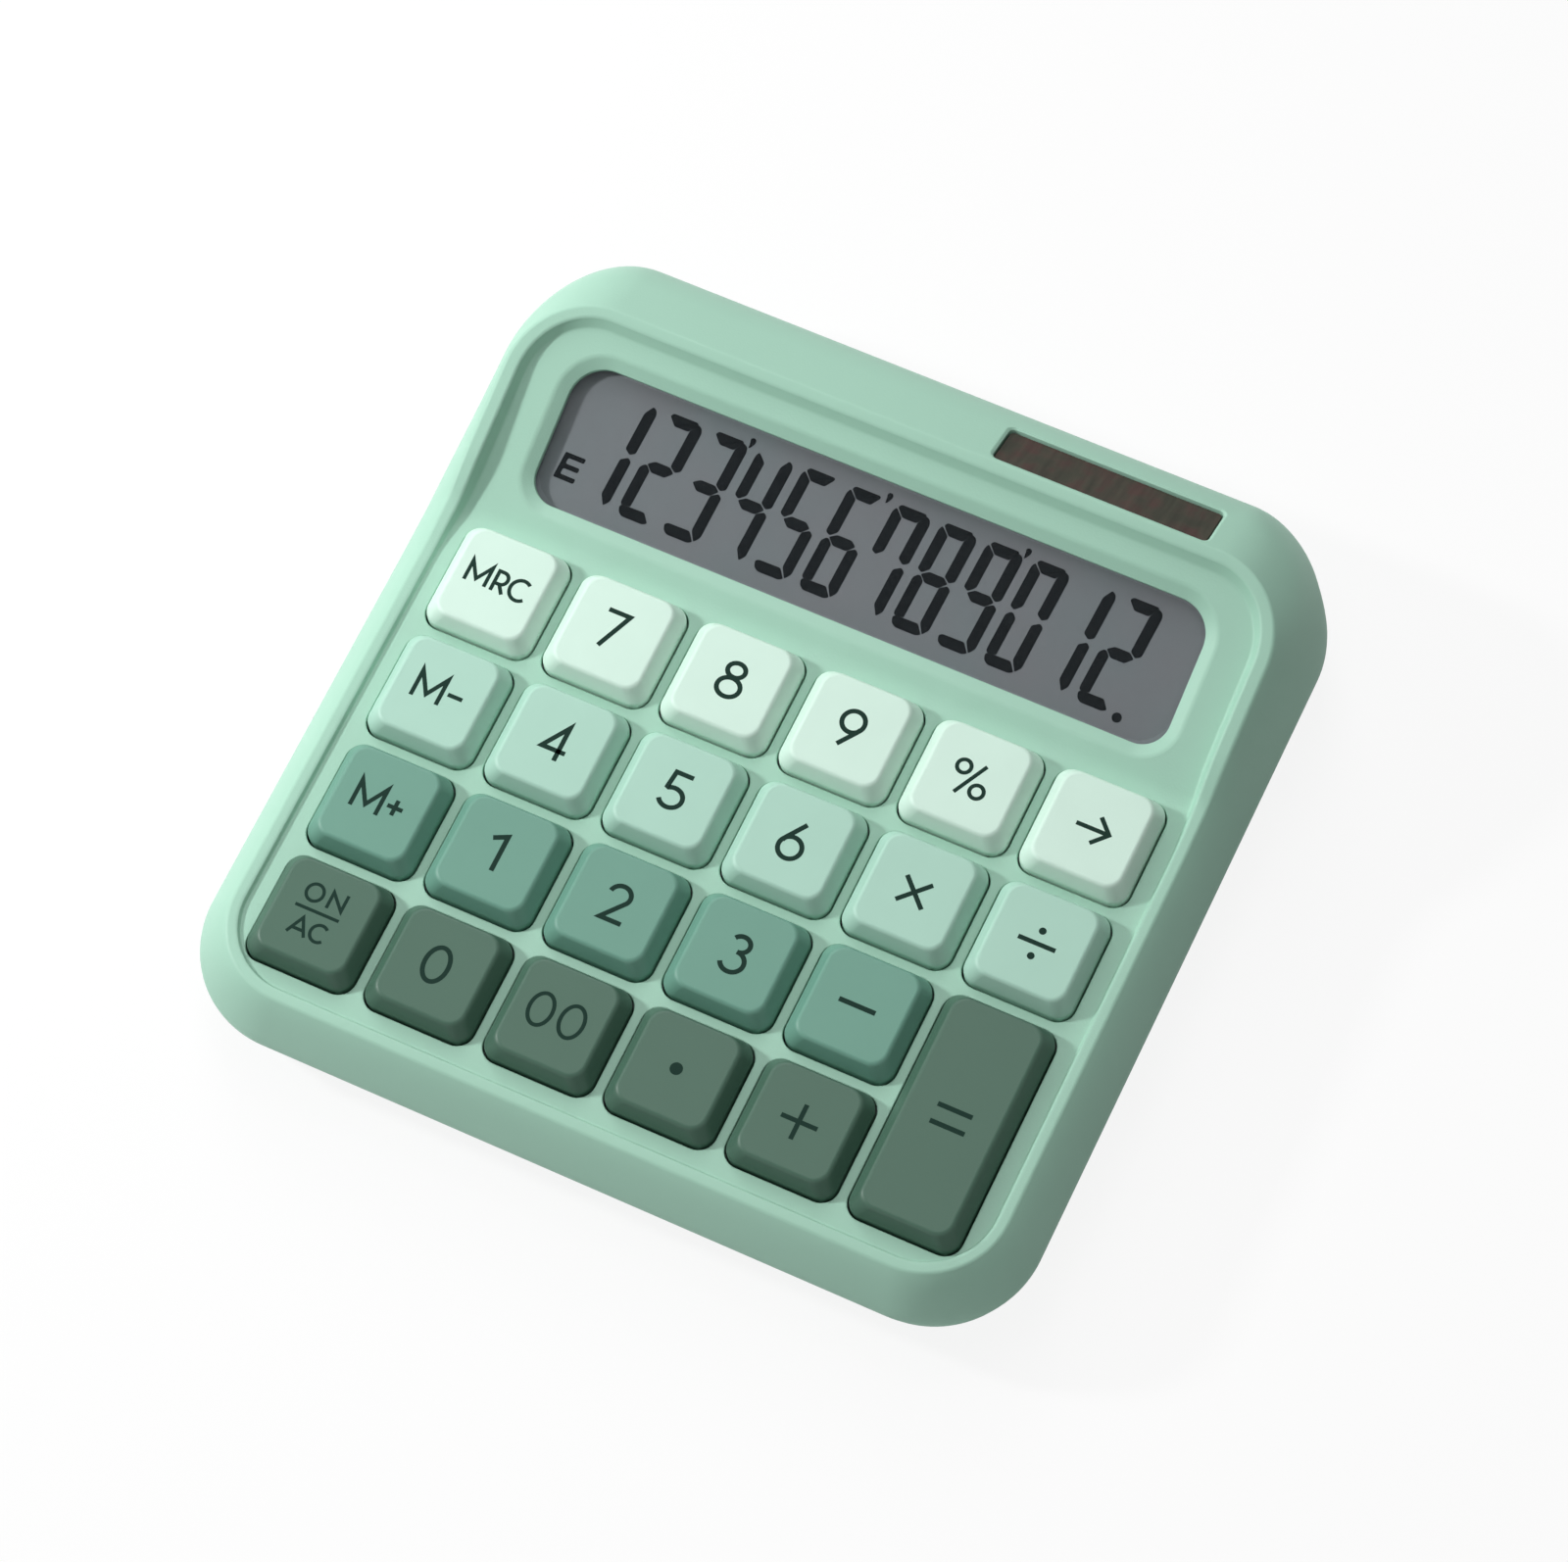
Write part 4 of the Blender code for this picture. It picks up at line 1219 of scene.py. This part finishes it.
def makeDigits():
    bm = bmesh.new()
    shapes = []
    shiftX, shiftY = display["apostropheShift"]
    for index, figure in enumerate(display["shown"]):
        centre = (display["firstDigit"] + index * display["pitch"]) / mm
        shapes += [(centre, widened(segments[key], display["widen"])) for key in lit[figure]]
        if index in (2, 5, 8):
            shapes.append((centre, [(x + shiftX, y + shiftY) for x, y in apostrophe]))
    errorX, errorY = display["errorPlace"]
    shapes.append((errorX, [(x, y + errorY) for x, y in errorSign]))
    for centre, outline in shapes:
        leant = [(x + centre + display["slant"] * y, y, 0) for x, y in outline]
        face = bm.faces.new([bm.verts.new(point) for point in leant])
        if face.normal.z < 0:
            face.normal_flip()
    rounding = {"offset": display["rounding"], "offset_type": "OFFSET", "segments": 3, "profile": 0.5}
    bmesh.ops.bevel(bm, geom=list(bm.verts), affect="VERTICES", material=-1, **rounding)
    stopX, stopY = display["stop"]
    last = (display["firstDigit"] + (len(display["shown"]) - 1) * display["pitch"]) / mm
    spot = Matrix.Translation((last + stopX, stopY, 0))
    bmesh.ops.create_circle(
        bm, cap_ends=True, segments=32, radius=display["stopRadius"], matrix=spot
    )
    made = bmesh.ops.extrude_face_region(bm, geom=list(bm.faces))["geom"]
    raised = [item for item in made if isinstance(item, bmesh.types.BMVert)]
    bmesh.ops.translate(bm, verts=raised, vec=(0, 0, display["thickness"] / mm))
    place = panelPlace() @ Matrix.Translation((0, display["middle"], -display["filmDrop"]))
    place = place @ Matrix.Scale(mm, 4)
    piece = helperOf("displayDigits", bm, place)
    finishPiece(piece, crystalDark, "case")


makeDigits()
print("display digits made")


# ---- solar cell

cell = {
    "drop": 0.65 * mm,
    "thickness": 1.2 * mm,
    "space": 0.25 * mm,
    "edge": 0.1 * mm,
}


def makeSolarCell():
    halfX, halfY = [half - cell["space"] for half in openings["solarHalf"]]
    radius, edge = openings["solarRadius"] - cell["space"], cell["edge"]
    top, low = -cell["drop"], -cell["drop"] - cell["thickness"]
    rings = []
    for inset, z in ((0, low), (0, top - edge), (edge, top)):
        outline = roundedOutline(halfX - inset, halfY - inset, radius - inset, 16)
        rings.append(atHeight(outline, z))
    piece = tubeOf("solarCell", rings, bandPlace())
    finishPiece(piece, siliconBrown, "case", ["solar_cell"])


makeSolarCell()
print("solar cell made")


# ---- finishes of the pieces that keep their CAD shape

kept = {
    "key_plate": zincPlatedSteel,
    "main_board": solderMask,
    "equals_stabiliser": naturalAcetal,
    "coin_cell": nickelPlatedSteel,
    "lcd_panel": filmGrey,
    "display_lens": clearAcrylic,
}
for name, node in nodes.items():
    finish = blackNylon if name.startswith("switch_") else kept.get(name)
    if finish:
        for slot in node.material_slots:
            slot.material = finish


# ---- floor, light and camera

def mixedOutput(tree, kind, share, first, second):
    links = {0: share, 1: first.outputs[0], 2: second.outputs[0]}
    mixed = addNode(tree, "ShaderNodeMixShader", (), links)
    addNode(tree, kind, (), {"Surface": mixed.outputs[0]})


def makeFloor():
    bm = bmesh.new()
    bmesh.ops.create_grid(bm, x_segments=1, y_segments=1, size=3.0)
    floor = helperOf("floor", bm)
    made = bpy.data.materials.new("paleStudioCard")
    made.use_nodes = True
    tree = made.node_tree
    tree.nodes.clear()
    # the eye sees mostly even white, with a share of the card's own shading for the shadow
    card = addNode(tree, "ShaderNodeBsdfDiffuse", {"Color": linearRgb("F6F6F6")})
    glow = addNode(tree, "ShaderNodeEmission", {"Color": linearRgb("FFFFFF"), "Strength": 1.0})
    seen = addNode(tree, "ShaderNodeLightPath").outputs["Is Camera Ray"]
    settings = {"operation": "MULTIPLY", 1: studio["floorGlow"]}
    share = addNode(tree, "ShaderNodeMath", settings, {0: seen}).outputs[0]
    mixedOutput(tree, "ShaderNodeOutputMaterial", share, card, glow)
    floor.data.materials.append(made)


studio = {
    "ambient": 0.03,
    "floorGlow": 0.88,
    "middle": (0.0, 0.0, 0.02),
    # each lamp's bearing from +X and height in degrees, distance and size in metres, and power
    "lamps": {
        "key": (190.6, 32.5, 0.6, 0.06, 2.35),
        "rear": (120, 38, 1.0, 0.4, 2.7),
        "rearHigh": (120, 62, 1.0, 0.4, 1.6),
        "rightRear": (60, 38, 1.0, 0.4, 0.5),
        "overhead": (0, 90, 0.33, 0.2, 0.18),
        "leftRearNear": (150, 18, 0.35, 0.2, 0.165),
        "frontNear": (270, 18, 0.35, 0.2, 0.125),
        "rightFrontNear": (330, 42, 0.35, 0.2, 0.087),
    },
}


def makeLight():
    world = bpy.data.worlds.new("studio")
    world.use_nodes = True
    bpy.context.scene.world = world
    tree = world.node_tree
    tree.nodes.clear()
    ray = addNode(tree, "ShaderNodeLightPath")
    seen = ray.outputs["Is Camera Ray"]
    for other in ("Is Glossy Ray", "Is Transmission Ray"):
        links = {0: seen, 1: ray.outputs[other]}
        seen = addNode(tree, "ShaderNodeMath", {"operation": "MAXIMUM"}, links).outputs[0]
    white = linearRgb("FFFFFF")
    dim, full = [
        addNode(tree, "ShaderNodeBackground", {"Color": white, "Strength": strength})
        for strength in (studio["ambient"], 1.0)
    ]
    mixedOutput(tree, "ShaderNodeOutputWorld", seen, dim, full)
    for name, (bearing, height, distance, size, power) in studio["lamps"].items():
        data = bpy.data.lights.new(name, "AREA")
        data.size = size
        data.energy = power
        lamp = bpy.data.objects.new(name, data)
        away = Euler((0, radians(-height), radians(bearing))).to_matrix() @ Vector((1, 0, 0))
        lamp.location = Vector(studio["middle"]) + away * distance
        lamp.rotation_euler = (-away).to_track_quat("-Z", "Y").to_euler()
        bpy.context.collection.objects.link(lamp)


view = {
    "place": (0.195982, -0.294643, 0.820315),
    "turn": (23.4077, 3.3923, 25.4526),
    "lens": 132.933,
    "sensor": 36,
    "near": 0.01,
}


def makeCamera():
    data = bpy.data.cameras.new("camera")
    data.lens = view["lens"]
    data.sensor_width = view["sensor"]
    data.clip_start = view["near"]
    camera = bpy.data.objects.new("camera", data)
    camera.location = view["place"]
    camera.rotation_euler = Euler([radians(angle) for angle in view["turn"]])
    bpy.context.collection.objects.link(camera)
    bpy.context.scene.camera = camera


makeFloor()
makeLight()
makeCamera()
bpy.context.scene.view_settings.view_transform = "Standard"
print("studio set up")
